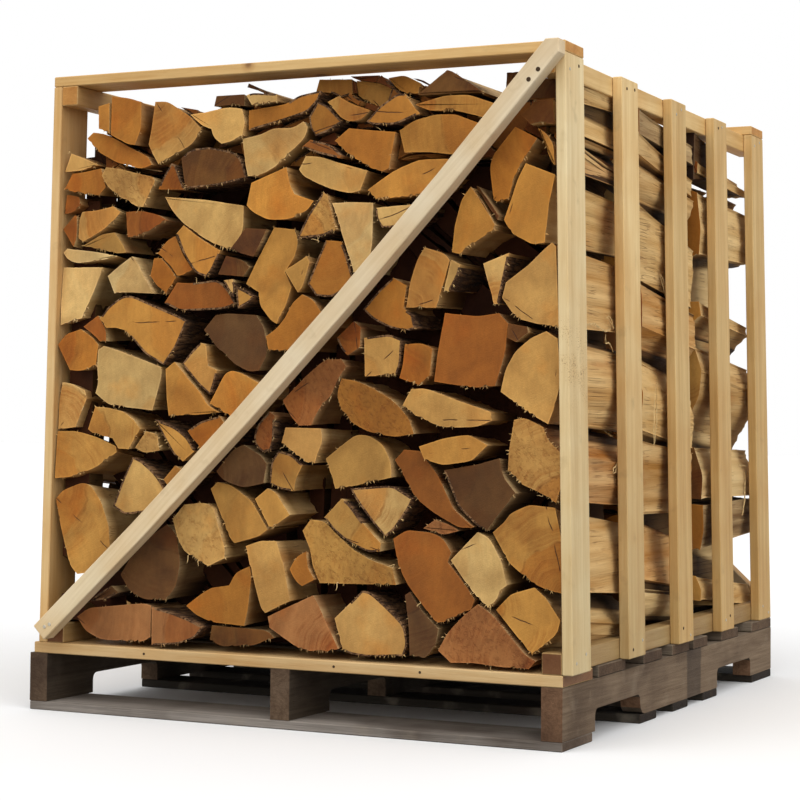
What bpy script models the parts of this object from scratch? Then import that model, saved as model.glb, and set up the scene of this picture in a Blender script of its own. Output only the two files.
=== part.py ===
"""A crate of split firewood on a wooden pallet, in metres, +Z up.

The origin is the middle of the whole thing's footprint, on the floor. The stringers run
along Y, from the front (-Y) to the back. The crate is nailed up from thin boards round
three rows of split logs, each row one stack with its logs' ends in front or behind.
"""

import math

import bmesh
import bpy
from mathutils import Matrix, Vector, geometry

# Driving dimensions, in metres. ------------------------------------------------------------

PALLET_WIDTH = 1.067            # 42 inches, across the stringers
PALLET_DEPTH = 1.219            # 48 inches, along the stringers
GAP = 0.0003                    # between pieces that touch
EASE = 0.0015                   # small bevel on sawn edges

STRINGER_WIDTH = 0.038
STRINGER_HEIGHT = 0.089
NOTCH_START = 0.152             # from each end of a stringer to its fork notch
NOTCH_LENGTH = 0.229
NOTCH_HEIGHT = 0.038
NOTCH_RADIUS = 0.012
BOTTOM_BOARD = 0.016            # thickness
DECK_BOARD = 0.020              # thickness
LEAD_WIDTH = 0.140

CRATE_HEIGHT = 1.185            # floor to the top boards' upper faces
POST_THICKNESS = 0.019
POST_WIDTH = 0.089
RAIL = 0.036                    # side of the square rails
TOP_BOARD = 0.019
BRACE_WIDTH = 0.034
BRACE_THICKNESS = 0.032
CRATE_SHIFT = 0.018             # the crate's front end stands this far to the right
LEAN_LEFT = 0.014               # the posts' tops lean in by this much
LEAN_RIGHT = 0.020

# Places that follow from them. --------------------------------------------------------------

STRINGER_BOTTOM = BOTTOM_BOARD + GAP
STRINGER_TOP = STRINGER_BOTTOM + STRINGER_HEIGHT
DECK_BOTTOM = STRINGER_TOP + GAP
DECK_TOP = DECK_BOTTOM + DECK_BOARD
LEFT = -(PALLET_WIDTH + CRATE_SHIFT) / 2          # the pallet's left side
FRONT = -PALLET_DEPTH / 2                         # the pallet's and the crate's front plane
RAIL_BOTTOM = DECK_TOP + GAP
FRAME_TOP = CRATE_HEIGHT - TOP_BOARD              # underside of the top boards

# Small helpers. ------------------------------------------------------------------------------


def clear_scene():
    """Take every object out of the scene."""
    for thing in list(bpy.data.objects):
        bpy.data.objects.remove(thing, do_unlink=True)


def wood(name, colour, roughness):
    """A plain matt wood finish."""
    material = bpy.data.materials.new(name)
    material.use_nodes = True
    shader = material.node_tree.nodes["Principled BSDF"]
    shader.inputs["Base Color"].default_value = (*colour, 1)
    shader.inputs["Roughness"].default_value = roughness
    return material


def add_piece(name, mesh, material):
    """One named piece of the object, standing where its mesh says."""
    mesh.materials.append(material)
    piece = bpy.data.objects.new(name, mesh)
    bpy.context.scene.collection.objects.link(piece)
    return piece


def face_outwards(shape):
    """Turn the faces of a closed shape to the outside."""
    bmesh.ops.recalc_face_normals(shape, faces=shape.faces)
    if shape.calc_volume(signed=True) < 0:
        bmesh.ops.reverse_faces(shape, faces=shape.faces)


def ease_edges(shape):
    """Break every sharp edge of a sawn board."""
    edges = [edge for edge in shape.edges if edge.calc_face_angle(0) > math.radians(60)]
    bmesh.ops.bevel(shape, geom=edges, offset=EASE, segments=1, affect="EDGES", clamp_overlap=True)


def board(name, low, high, material, turn=None, place=lambda point: point):
    """A sawn board from its low to its high corner, turned and then put in its place."""
    low = Vector(low)
    high = Vector(high)
    shape = bmesh.new()
    bmesh.ops.create_cube(shape, size=1)
    bmesh.ops.scale(shape, vec=high - low, verts=shape.verts)
    ease_edges(shape)
    middle = (low + high) / 2
    for corner in shape.verts:
        point = middle + (turn @ corner.co if turn else corner.co)
        corner.co = place(point)
    face_outwards(shape)
    mesh = bpy.data.meshes.new(name)
    shape.to_mesh(mesh)
    shape.free()
    return add_piece(name, mesh, material)


def on_pallet(point):
    """From the pallet's front left corner on the floor to the part's frame."""
    return Vector((LEFT + point.x, FRONT + point.y, point.z))


def racked(point):
    """As on_pallet, for the crate: turned a little on the pallet, its sides leaning in."""
    back = point.y / PALLET_DEPTH
    right = point.x / PALLET_WIDTH
    up = max(0, point.z - DECK_TOP) / (CRATE_HEIGHT - DECK_TOP)
    shift = CRATE_SHIFT * (1 - back)
    lean = LEAN_LEFT * (1 - right) - LEAN_RIGHT * right
    return on_pallet(point) + Vector((shift + lean * up, 0, 0))


# The pallet. ---------------------------------------------------------------------------------

STRINGERS = {
    "left": 0,
    "middle": (PALLET_WIDTH - STRINGER_WIDTH) / 2,
    "right": PALLET_WIDTH - STRINGER_WIDTH,
}

# Each board's start along the pallet and its width.
DECK_BOARDS = {
    "front": (0.000, LEAD_WIDTH),
    "2": (0.168, 0.136),
    "3": (0.402, 0.100),
    "4": (0.562, 0.100),
    "5": (0.690, 0.086),
    "6": (0.868, 0.112),
    "back": (PALLET_DEPTH - LEAD_WIDTH, LEAD_WIDTH),
}
BOTTOM_BOARDS = {
    "front": (0.000, LEAD_WIDTH),
    "2": (0.382, POST_WIDTH),
    "3": (0.565, POST_WIDTH),
    "4": (0.748, POST_WIDTH),
    "back": (PALLET_DEPTH - LEAD_WIDTH, LEAD_WIDTH),
}


def arc(middle, radius, start, end, steps):
    """Points on a round corner, its angles in degrees."""
    points = []
    for step in range(steps + 1):
        angle = math.radians(start + (end - start) * step / steps)
        points.append((middle[0] + radius * math.cos(angle), middle[1] + radius * math.sin(angle)))
    return points


def stringer_outline(worn):
    """A stringer seen from the side, with its two fork notches. A worn one has lost a corner."""
    top = NOTCH_HEIGHT - NOTCH_RADIUS
    outline = [(0, 0)]
    for start in (NOTCH_START, PALLET_DEPTH - NOTCH_START - NOTCH_LENGTH):
        end = start + NOTCH_LENGTH
        outline.append((start, 0))
        outline += arc((start + NOTCH_RADIUS, top), NOTCH_RADIUS, 180, 90, 3)
        outline += arc((end - NOTCH_RADIUS, top), NOTCH_RADIUS, 90, 0, 3)
        if worn and start == NOTCH_START:
            outline += arc((end + 2 * NOTCH_RADIUS, 2 * NOTCH_RADIUS), 2 * NOTCH_RADIUS, 180, 270, 3)
        else:
            outline.append((end, 0))
    return outline + [(PALLET_DEPTH, 0), (PALLET_DEPTH, STRINGER_HEIGHT), (0, STRINGER_HEIGHT)]


def stringer(side, start, material):
    """One of the three runners that carry the deck."""
    shape = bmesh.new()
    outline = stringer_outline(worn=side == "right")
    corners = [shape.verts.new((start, y, STRINGER_BOTTOM + z)) for y, z in outline]
    face = shape.faces.new(corners)
    swept = bmesh.ops.extrude_face_region(shape, geom=[face])
    moved = [item for item in swept["geom"] if isinstance(item, bmesh.types.BMVert)]
    bmesh.ops.translate(shape, vec=(STRINGER_WIDTH, 0, 0), verts=moved)
    for corner in shape.verts:
        corner.co = on_pallet(corner.co)
    face_outwards(shape)
    bmesh.ops.triangulate(shape, faces=shape.faces)
    name = f"stringer_{side}"
    mesh = bpy.data.meshes.new(name)
    shape.to_mesh(mesh)
    shape.free()
    add_piece(name, mesh, material)


def build_pallet(weathered, fresh):
    """Three stringers, seven deck boards and five bottom boards."""
    for side, start in STRINGERS.items():
        stringer(side, start, weathered)
    for place, (start, width) in BOTTOM_BOARDS.items():
        low = (0, start, 0)
        high = (PALLET_WIDTH, start + width, BOTTOM_BOARD)
        board(f"bottom_board_{place}", low, high, weathered, place=on_pallet)
    for place, (start, width) in DECK_BOARDS.items():
        inset = 0.008 if place == "front" else 0
        low = (inset, start, DECK_BOTTOM)
        high = (PALLET_WIDTH, start + width, DECK_TOP)
        finish = fresh if place == "front" else weathered
        board(f"deck_board_{place}", low, high, finish, place=on_pallet)


# The crate. ----------------------------------------------------------------------------------

POST_STARTS = (0, 0.286, 0.575, 0.852, PALLET_DEPTH - POST_WIDTH)
BRACE_FOOT = (0.021, 0.146)     # middle of the brace's lower end: across, up
BRACE_HEAD = (1.048, 1.164)     # where its middle comes to near the crate's top corner
BRACE_BOW = 0.015               # how far the stick is bent down in its middle
BRACE_STEPS = 5
BRACE_TOP = CRATE_HEIGHT - 0.002


def build_side(side, material):
    """A side of the crate: five posts nailed outside a top and a bottom rail."""
    def across(low, high):
        return (low, high) if side == "left" else (PALLET_WIDTH - high, PALLET_WIDTH - low)

    outer, inner = across(0, POST_THICKNESS)
    for number, start in enumerate(POST_STARTS, 1):
        low = (outer, start, DECK_TOP + GAP)
        high = (inner, start + POST_WIDTH, FRAME_TOP - GAP)
        board(f"post_{side}_{number}", low, high, material, place=racked)
    outer, inner = across(POST_THICKNESS + GAP, POST_THICKNESS + GAP + RAIL)
    for level, bottom in (("bottom", RAIL_BOTTOM), ("top", FRAME_TOP - GAP - RAIL)):
        low = (outer, 0, bottom)
        high = (inner, PALLET_DEPTH, bottom + RAIL)
        board(f"{level}_rail_{side}", low, high, material, place=racked)


def brace_outline():
    """The brace seen from the front: bent a little, its foot cut square, its head cut flush."""
    foot = Vector(BRACE_FOOT)
    along = Vector(BRACE_HEAD) - foot
    aside = Vector((-along.y, along.x)).normalized()
    upper = []
    lower = []
    for step in range(BRACE_STEPS + 1):
        share = step / BRACE_STEPS
        middle = foot + along * share - aside * BRACE_BOW * 4 * share * (1 - share)
        upper.append(middle + aside * BRACE_WIDTH / 2)
        lower.append(middle - aside * BRACE_WIDTH / 2)
    last = (upper[-1] - upper[-2]).normalized()
    upper[-1] += last * (BRACE_TOP - upper[-1].y) / last.y
    lower[-1] += last * (PALLET_WIDTH - lower[-1].x) / last.x
    return lower + [Vector((PALLET_WIDTH, BRACE_TOP))] + upper[::-1]


def build_brace(end, material):
    """The diagonal stick across the open front, or the back, of the crate."""
    shape = bmesh.new()
    face = shape.faces.new([shape.verts.new((x, 0, z)) for x, z in brace_outline()])
    swept = bmesh.ops.extrude_face_region(shape, geom=[face])
    moved = [item for item in swept["geom"] if isinstance(item, bmesh.types.BMVert)]
    bmesh.ops.translate(shape, vec=(0, -BRACE_THICKNESS, 0), verts=moved)
    ease_edges(shape)
    for corner in shape.verts:
        point = corner.co - Vector((0, GAP, 0))
        if end == "back":
            point = Vector((PALLET_WIDTH - point.x, PALLET_DEPTH - point.y, point.z))
        corner.co = racked(point)
    face_outwards(shape)
    bmesh.ops.triangulate(shape, faces=shape.faces)
    name = f"brace_{end}"
    mesh = bpy.data.meshes.new(name)
    shape.to_mesh(mesh)
    shape.free()
    add_piece(name, mesh, material)


def build_crate(fresh):
    """Two slatted sides, a flat board over each open end, and a brace across each."""
    for side in ("left", "right"):
        build_side(side, fresh)
    for end, start in (("front", 0), ("back", PALLET_DEPTH - POST_WIDTH)):
        low = (0, start, FRAME_TOP + GAP)
        high = (PALLET_WIDTH, start + POST_WIDTH, CRATE_HEIGHT)
        board(f"top_board_{end}", low, high, fresh, place=racked)
        build_brace(end, fresh)

# The firewood. --------------------------------------------------------------------------------

# The front row's logs, each outline running round one split end: across, up, in centimetres.
STACKED_LOGS = (
    # bottom course
    ((9.6, 17.5), (12, 19.2), (24, 20.6), (25.4, 20.2), (25.5, 14.6), (24, 13.6), (15, 13.6),
     (11.5, 15)),
    ((26, 20), (30, 19.3), (34, 18.2), (37, 17), (35.5, 15), (32, 13.7), (26.2, 13.2)),
    ((37.6, 14.6), (38, 17.2), (44, 17.1), (50, 17), (51.4, 15.8), (47, 14.2), (40, 13.6)),
    ((50.2, 19.5), (55.2, 21.8), (59.2, 23.6), (60, 22.6), (62, 19), (64.4, 14.6), (62, 13.9), (57, 14),
     (50.6, 17.6)),
    ((63.4, 19.8), (66, 22.2), (68.6, 24.8), (70, 24.8), (74, 21.7), (76.8, 19.2), (77.5, 15.8),
     (76.6, 14), (70, 13.5), (66.5, 13.8), (65, 14.4)),
    ((76.9, 24.4), (77.8, 25), (80, 22), (83.4, 19), (82.9, 15.8), (81, 14), (78.2, 14.2),
     (77.9, 18.8)),
    ((83.6, 15.4), (85.4, 18.6), (88, 21.3), (90.8, 23.5), (93.4, 22), (99.8, 15.4), (101.6, 14.6),
     (100.4, 13.3), (96, 13.3), (90, 13.7), (86, 13.5)),
    ((94, 22.7), (96.5, 25.4), (100.8, 26.7), (103, 25), (105.6, 21.5), (105.2, 19.4), (102.5, 17),
     (100.7, 15.6)),
    # second course
    ((12.6, 20.5), (14.5, 22.1), (17.2, 23.5), (18.8, 22.4), (16, 21)),
    ((18.8, 25.6), (20.8, 22.6), (24, 21.4), (28.5, 21.4), (30.6, 24), (31.2, 28.5), (30, 33.5),
     (28, 35), (22, 31)),
    ((32.6, 20.5), (35.5, 22.5), (38, 24), (42, 24.6), (43.5, 27), (46.4, 28.2), (46.8, 26.5),
     (46, 20.5), (45.2, 17.6), (38, 17.9), (34.8, 19)),
    ((45.8, 31.8), (49, 32.9), (52, 32.9), (53.5, 29), (54.9, 22.5), (50, 20.2), (49.2, 20.8),
     (47.2, 27)),
    ((54.5, 28), (55.8, 30.4), (57.6, 31.2), (57.9, 28.5), (59.3, 26.4), (57, 25.2), (55.8, 25.8)),
    ((56.4, 34.8), (58, 36.8), (60.9, 36.6), (63.4, 34.4), (67, 31.8), (70.5, 30.2), (74.8, 29),
     (75.6, 26.2), (60.2, 25.8), (58.7, 28.4), (58.1, 31.5)),
    ((74.5, 34), (77, 35.6), (82, 35.2), (84, 34.2), (85.4, 32), (84.8, 30.4), (89, 25.7), (90, 24.2),
     (89.4, 22.6), (84, 19.9), (82.9, 20.1), (77.6, 26.1), (75.6, 29.4)),
    ((85.4, 30.7), (90.3, 35.6), (92.6, 34.8), (95, 31), (96.2, 27), (95, 26), (94, 23.7), (92.8, 23),
     (89.7, 25.6)),
    ((93.4, 35.7), (95.5, 37.6), (96.5, 39), (99.8, 40.5), (104.4, 40.1), (106, 33), (106, 26),
     (103.6, 26.2), (100.4, 27.7), (96.4, 30.7)),
    # third course
    ((4.5, 39.2), (6, 40.8), (10.5, 42.4), (12.3, 41.8), (14.6, 38.8), (16.3, 34.5), (16.6, 30),
     (13.5, 26), (9.5, 25.4), (7.8, 27), (5.7, 34)),
    ((17.6, 38.2), (19.5, 43), (21.5, 47.2), (23, 46.8), (26, 44.5), (27.4, 42.9), (28.5, 41),
     (25, 37.4), (20, 36.7)),
    ((28, 43.3), (30.4, 45.8), (33, 44.6), (31, 42), (29.2, 41.7)),
    ((30.2, 36.2), (32.5, 38.8), (37, 39.3), (38.8, 38.2), (40, 34.5), (41.4, 31), (41.2, 29.5),
     (38, 28), (36, 28.8), (32.6, 30.6), (31.4, 32.5)),
    ((37.6, 41.8), (39, 43), (42, 42.6), (44.5, 41), (46.6, 39.6), (49.7, 34.9), (48, 33.6),
     (42.7, 32.2), (41.7, 33), (39.3, 38.2)),
    ((47.2, 40.2), (49.7, 42.1), (51.5, 41.5), (53, 39.4), (54.4, 37.6), (51, 35.3), (50.2, 35.4)),
    ((39.6, 45), (41, 43.4), (45, 42.2), (49, 43.1), (49.6, 46.5), (48.5, 48), (45, 49.8), (43, 49)),
    ((49.9, 43), (50.3, 47), (51.8, 48.8), (54.5, 48.3), (56.8, 46.4), (55.5, 44), (55, 41.8),
     (52, 42.1)),
    ((61.2, 37.3), (64.8, 40.7), (66, 40.1), (69, 36.6), (72.6, 33.2), (72.4, 31.8), (70, 31.6),
     (66, 33.2), (63.2, 35.2)),
    ((66.3, 42.5), (74.2, 43.2), (78, 41), (77.4, 39.6), (74.4, 35.4), (72.8, 34.3), (70.7, 36.5),
     (67.4, 40.6)),
    ((74.3, 47.6), (76, 49.4), (79, 49.2), (82.9, 45), (86, 39.4), (90, 36.5), (87.4, 36.3),
     (82.4, 38.7), (78.6, 41.2)),
    ((80.2, 36), (82.4, 37.5), (85.6, 36.6), (87, 35.8), (84.2, 35)),
    ((84, 46), (90, 47), (94.6, 48.2), (95.2, 45.2), (97.7, 42.4), (94.4, 38.8), (92.4, 36),
     (90.8, 36.4), (86.8, 39.8)),
    # fourth course
    ((4.5, 43.1), (8, 43.4), (13, 45.2), (17.3, 48.1), (17, 49.2), (13, 50.8), (8.5, 51.9),
     (4.5, 51.8)),
    ((4.6, 52.3), (4.5, 57.5), (5, 61), (7, 60.8), (10.2, 59.5), (10.7, 58), (8.5, 52.7), (6.5, 52.4)),
    ((11.5, 52.3), (13, 56.4), (15, 56.4), (19, 55.7), (21.8, 54), (23, 52.4), (20.5, 48.7),
     (18.3, 48.8), (17, 50.7), (12.5, 51.5)),
    ((21.5, 49), (23.9, 52), (26.3, 51.5), (26.8, 48.6), (23.5, 48)),
    ((26, 54.2), (30.4, 52.8), (33, 51), (34.6, 48.6), (32.2, 46.7), (30.4, 47.6)),
    ((33.4, 52.2), (36, 53.9), (40, 54.9), (41.6, 53), (40, 50.5), (36.4, 48.3)),
    ((46.8, 51), (47.6, 53.5), (50, 55.8), (51, 55), (50.8, 50.5), (50.2, 49), (48.8, 48.6),
     (47.4, 49.4)),
    ((52.8, 50.3), (53.6, 53), (60.6, 52.9), (61, 50.8), (59.4, 46.8), (57.6, 46.9), (54.8, 48.9)),
    ((61.1, 47.6), (64, 49.8), (67, 51.9), (69.5, 51.8), (72.4, 50.2), (74.1, 47.1), (74.2, 44.6),
     (67, 43), (63.2, 42.4)),
    ((79.6, 50), (84, 51.4), (88.8, 52.2), (92.4, 50.4), (89.6, 47.7), (84.2, 46.9), (80.6, 47.9)),
    ((95.8, 46.2), (96, 50), (96.8, 54.7), (98.6, 55.2), (102.2, 53.6), (103, 51.6), (105.8, 49),
     (105.9, 44.5), (104.8, 41), (101.5, 42.8), (98.4, 43.9)),
    # fifth course
    ((13.4, 67), (14.6, 67.7), (18, 66.8), (27.1, 63.8), (27.3, 62.5), (25.4, 55.9), (16, 56.8),
     (13, 59), (13.6, 61), (13.2, 64)),
    ((28.4, 63.4), (30.2, 64.7), (31, 63.8), (36.2, 58.6), (37, 57), (39.6, 55.6), (36, 55.2),
     (29.3, 54.9), (28.8, 58)),
    ((31.2, 64.4), (33, 66.5), (35, 68.2), (36.2, 67.8), (36.8, 64), (38.8, 63.2), (38.4, 61),
     (37.6, 58.8), (34.9, 60.7)),
    ((37.5, 57.2), (40.6, 62.6), (42, 63.2), (44, 62.7), (48, 60.8), (47.5, 58), (43, 54.7),
     (42, 54.9)),
    ((52.4, 57.8), (54, 55), (55.6, 53.4), (58, 53.5), (60, 57), (62, 58.6), (63.2, 61.3), (65, 63.8),
     (64.2, 65.1), (61, 65.1), (57, 62)),
    ((63.5, 58.8), (64.4, 61.7), (67.2, 61.3), (70.5, 60), (74.6, 57.8), (77.6, 54.9), (78.6, 52.2),
     (75, 51.6), (70, 52.4), (66.6, 54), (64.6, 56)),
    ((76.6, 57), (78.3, 59.9), (81, 60), (87, 57.9), (93, 56), (93.2, 54.6), (90.5, 53.5), (84, 53.3),
     (79, 55.3)),
    ((94.6, 59.5), (95.5, 63.2), (97.3, 66.2), (100.2, 68.5), (103, 69.6), (105, 68.4), (105.7, 61.5),
     (104.4, 57), (103.2, 54.1), (99.4, 56.1)),
    # sixth course
    ((4.6, 68), (6.2, 70), (9.3, 70.9), (12, 69.3), (13.2, 67.9), (12.9, 64.2), (10, 63.1), (7.4, 63.3),
     (6.4, 65)),
    ((9.9, 71.4), (13, 73.4), (14.8, 70.8), (14.9, 68.6), (13.6, 68.6), (12.3, 69.8)),
    ((13.8, 72.8), (15.5, 75), (18.5, 77), (20.5, 77), (25, 75.2), (31, 72.9), (32.2, 72.2),
     (30.2, 67.5), (27.8, 64.2), (24, 66.1), (20.5, 69.5), (17.8, 71.2), (15.2, 71.1)),
    ((35.2, 70.6), (37.6, 73.2), (40, 73.5), (46.4, 73.1), (48, 71.3), (48.7, 69), (49.1, 66),
     (47.5, 63.2), (45.6, 62.9), (42.5, 64.2), (38, 67.6)),
    ((49, 69.2), (51.2, 70.6), (52.7, 72.2), (54.4, 75.2), (56.3, 76.6), (58.3, 75.8), (60.3, 73.5),
     (60.4, 71), (56, 66.5), (49.6, 66.8)),
    ((63.5, 68.8), (66.8, 71.7), (68.2, 70.5), (68.2, 67.2), (65.8, 65.8), (64.6, 66.6)),
    ((68.7, 68.8), (73.8, 69.4), (76, 68.4), (75.7, 64), (74.9, 62.4), (68.8, 62.1)),
    ((76.7, 67.6), (80, 67.8), (81.8, 66.8), (81.5, 62.2), (79.5, 60.6), (75.9, 61.8), (76.5, 64)),
    ((83.8, 73), (90, 72.3), (94, 72.8), (95.7, 71), (95.3, 66), (93.6, 60.5), (90, 60.1), (82.1, 61.2),
     (82.6, 66)),
    ((96.2, 71), (99.5, 70.4), (99.7, 69.5), (97.5, 67.9), (96, 68.6)),
    ((68.6, 73.8), (71.5, 77), (74.2, 79.2), (76.9, 77.8), (76.5, 73.8), (78.2, 72.7), (78.9, 70.4),
     (77.4, 69.8), (74, 70.5), (70.5, 72.1)),
    # seventh course
    ((4.7, 82.6), (13.8, 82.4), (12, 78), (9.6, 73), (4.8, 71.7), (4.6, 76)),
    ((15.3, 80.7), (18, 82.6), (20.8, 84.2), (22, 83), (23.8, 79.8), (25.5, 77.3), (19, 77.7),
     (16.8, 77.5)),
    ((24.4, 80.6), (25.2, 83.8), (26.6, 83.8), (28.4, 82), (29.7, 80.2), (27.5, 77.2), (25, 79.4)),
    ((27.9, 75.5), (30.4, 79.2), (33, 79), (38.4, 79.6), (39.8, 78.8), (41.3, 77), (42.3, 75.2),
     (40, 74.3), (31, 74)),
    ((38.8, 80.6), (40.4, 83.9), (44, 83), (45.2, 81.8), (44, 80.1)),
    ((40.2, 79.4), (42, 79.6), (42.7, 78.2), (42.3, 76.4), (41.5, 77.2)),
    ((43.1, 78.2), (44.6, 77.6), (46.6, 76.5), (46.2, 75.6), (43.6, 74.3), (43.3, 75.5)),
    ((44.5, 78.8), (46.6, 82.8), (50, 88.8), (54.2, 88.3), (55.1, 86.2), (54.5, 83.5), (52.5, 80.7),
     (54, 78), (52.9, 74.6), (51.2, 71.5), (50.3, 71.8), (47.4, 75), (47.2, 77.2)),
    ((53, 80.9), (55.4, 82.2), (57.4, 83.4), (57.9, 82.2), (56.4, 77.6), (55.6, 77), (54.5, 78.6)),
    ((57.3, 78.5), (58.9, 82.5), (60.5, 86.2), (63.4, 85.9), (64.4, 84), (65.9, 79.6), (65, 77.7),
     (62, 76), (59, 76.4)),
    ((77, 74), (77.7, 78.6), (79.1, 82.6), (80.3, 84.3), (84, 83.2), (84.9, 82), (83.4, 76.5),
     (82.5, 73.9)),
    ((85.6, 82), (87.3, 81.2), (87, 79.6), (85.2, 76.6), (84.2, 76.8)),
    ((91.2, 81.3), (95.9, 83), (95.2, 79.4), (94.2, 74.4), (93.4, 74.3)),
    ((94.8, 75.4), (95.5, 78), (99.8, 80.9), (102, 82.9), (104, 84.5), (104.7, 83.8), (105.5, 70.2),
     (101, 71), (97.5, 71.9)),
    # eighth course
    ((5, 85.4), (5.8, 86.1), (13, 85.2), (17.2, 84.4), (15, 83.9), (8, 83.3), (6, 84.1)),
    ((9.9, 86.5), (14, 88.6), (16.5, 88.8), (18.3, 86.5), (18.9, 85.1), (17.1, 84.9)),
    ((25.9, 84.7), (27.6, 87), (29.3, 87.8), (31.2, 84), (33.1, 81.6), (31, 80.5), (30, 80.6),
     (28.7, 82.4)),
    ((29.8, 88.2), (31.2, 89.7), (35, 87.1), (39.2, 84.8), (37.5, 81), (36.6, 80.2), (34.4, 80.8),
     (31.7, 84.2)),
    ((41.8, 85), (44.9, 88.7), (49.1, 88.4), (46.4, 83.6), (44, 84.2)),
    ((27.5, 95), (36, 94.2), (43.7, 92.9), (43.5, 88.3), (41.4, 85.3), (40, 85), (35, 87.6), (31, 90.3),
     (28.7, 92.8)),
    ((55.3, 86.6), (57.5, 90.6), (60.5, 94.5), (61.4, 94), (61.6, 92.6), (62.9, 88), (60.4, 86.9)),
    ((61.9, 92.7), (65, 92.8), (69.8, 92.5), (69.8, 85), (69.4, 82.5), (67.5, 80.2), (66.4, 80.4),
     (64.8, 85)),
    ((70.9, 91.5), (79.2, 91.9), (78.6, 90), (75, 88), (72.2, 88), (71, 89.4)),
    ((89.1, 94.4), (91.6, 91.4), (93.7, 87.8), (93.4, 86.9), (90, 85), (87, 83), (85.5, 83.4),
     (86, 87.6), (87.4, 92.4)),
    ((98.7, 98.2), (104.2, 96), (103.2, 91), (102.6, 84.6), (100.4, 84.3), (96.3, 86.4), (94.9, 88.7),
     (96.1, 92), (97.3, 95.6)),
    ((90, 94.6), (91.7, 92.9), (94.3, 89.3), (94.1, 88.6)),
    # ninth course
    ((5, 89.8), (7.5, 92.3), (7.9, 92.2), (7.9, 88), (7.2, 86.5)),
    ((8.5, 91.5), (9.1, 92.9), (13, 93.1), (16.2, 93.7), (17.9, 92.6), (17, 91.3), (14, 89.4),
     (9.5, 87.3), (8.4, 88)),
    ((5.1, 92.7), (5.5, 96.3), (8, 95.8), (8.5, 94.3), (7, 92.9)),
    ((18.7, 92.6), (22, 92.7), (26, 91.8), (28, 90.7), (26, 90), (22.5, 88.1), (19.3, 87.9)),
    ((5.6, 97.2), (7.2, 100.1), (9, 100.2), (13.2, 100.9), (14.3, 97.4), (13, 95.9), (9.5, 96.2)),
    ((5.2, 100.6), (6.6, 104), (10, 102.7), (12.3, 101.6), (9, 100.8)),
    ((13.8, 99.5), (14.7, 101), (18, 100.5), (24.8, 98.8), (25.3, 98), (22.8, 93.4), (21.9, 93.3),
     (17, 95.8), (14.9, 97.6)),
    ((25.7, 96.6), (26.5, 98.4), (28.6, 101.2), (29.4, 100.8), (31.3, 96.3)),
    ((31.9, 96.4), (31, 102), (33, 103.6), (37, 103.8), (42, 102.6), (43.3, 101), (44.2, 97.9),
     (38, 96.8)),
    ((46.1, 96.8), (53, 99.4), (53.6, 96.4), (54.6, 94.5), (58.4, 93.2), (56.9, 91.2), (53.5, 90.1),
     (49.5, 90.1), (46.3, 91.6), (45.2, 92.8)),
    ((55.5, 98.9), (56.8, 101.2), (59.5, 101), (64.2, 99.5), (68.8, 98.2), (67.4, 94.8), (65.5, 94.3),
     (61.5, 95.3), (58.5, 96.6), (56, 97.9)),
    ((69.3, 94.6), (71.4, 96), (74.6, 98), (79, 99.6), (85.8, 99.5), (84, 96.5), (80, 93.4), (71, 93)),
    ((92.7, 92.3), (92.1, 97.8), (92.7, 99.8), (97, 104.4), (101, 102.3), (98.5, 98.8), (96.7, 96),
     (95.5, 92.4), (93.3, 91.9)),
    ((101.4, 103.9), (103, 102.8), (104.2, 101), (104.3, 97.6), (103.9, 98)),
    # tenth course
    ((8.9, 107), (10.2, 108), (12.6, 107.7), (16, 106.2), (21, 103.7), (23.4, 102.7), (24.2, 101.2),
     (22, 100.5), (16, 102.1), (11.5, 104.4)),
    ((43.6, 105), (47.5, 105.6), (49.8, 106.6), (54, 106.4), (56, 107.5), (56.9, 106.4), (56.6, 104.7),
     (53.5, 102), (50.8, 99.7), (47, 97.9), (45, 98.2), (44.1, 101.5)),
    ((56, 102.9), (57.7, 104.1), (61.7, 103.1), (64.2, 101), (63.8, 100.5), (59, 101.7)),
    ((62.4, 103.7), (65.2, 105.8), (68, 105.4), (74.3, 104.7), (73.2, 98.4), (72, 97.8), (70, 98.4),
     (65.6, 100.9)),
    ((74.9, 105), (78, 106.6), (82, 107.3), (86, 107.1), (90.5, 105.3), (89.5, 102.5), (86, 100.2),
     (80, 101), (75.9, 101.1)),
)

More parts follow.
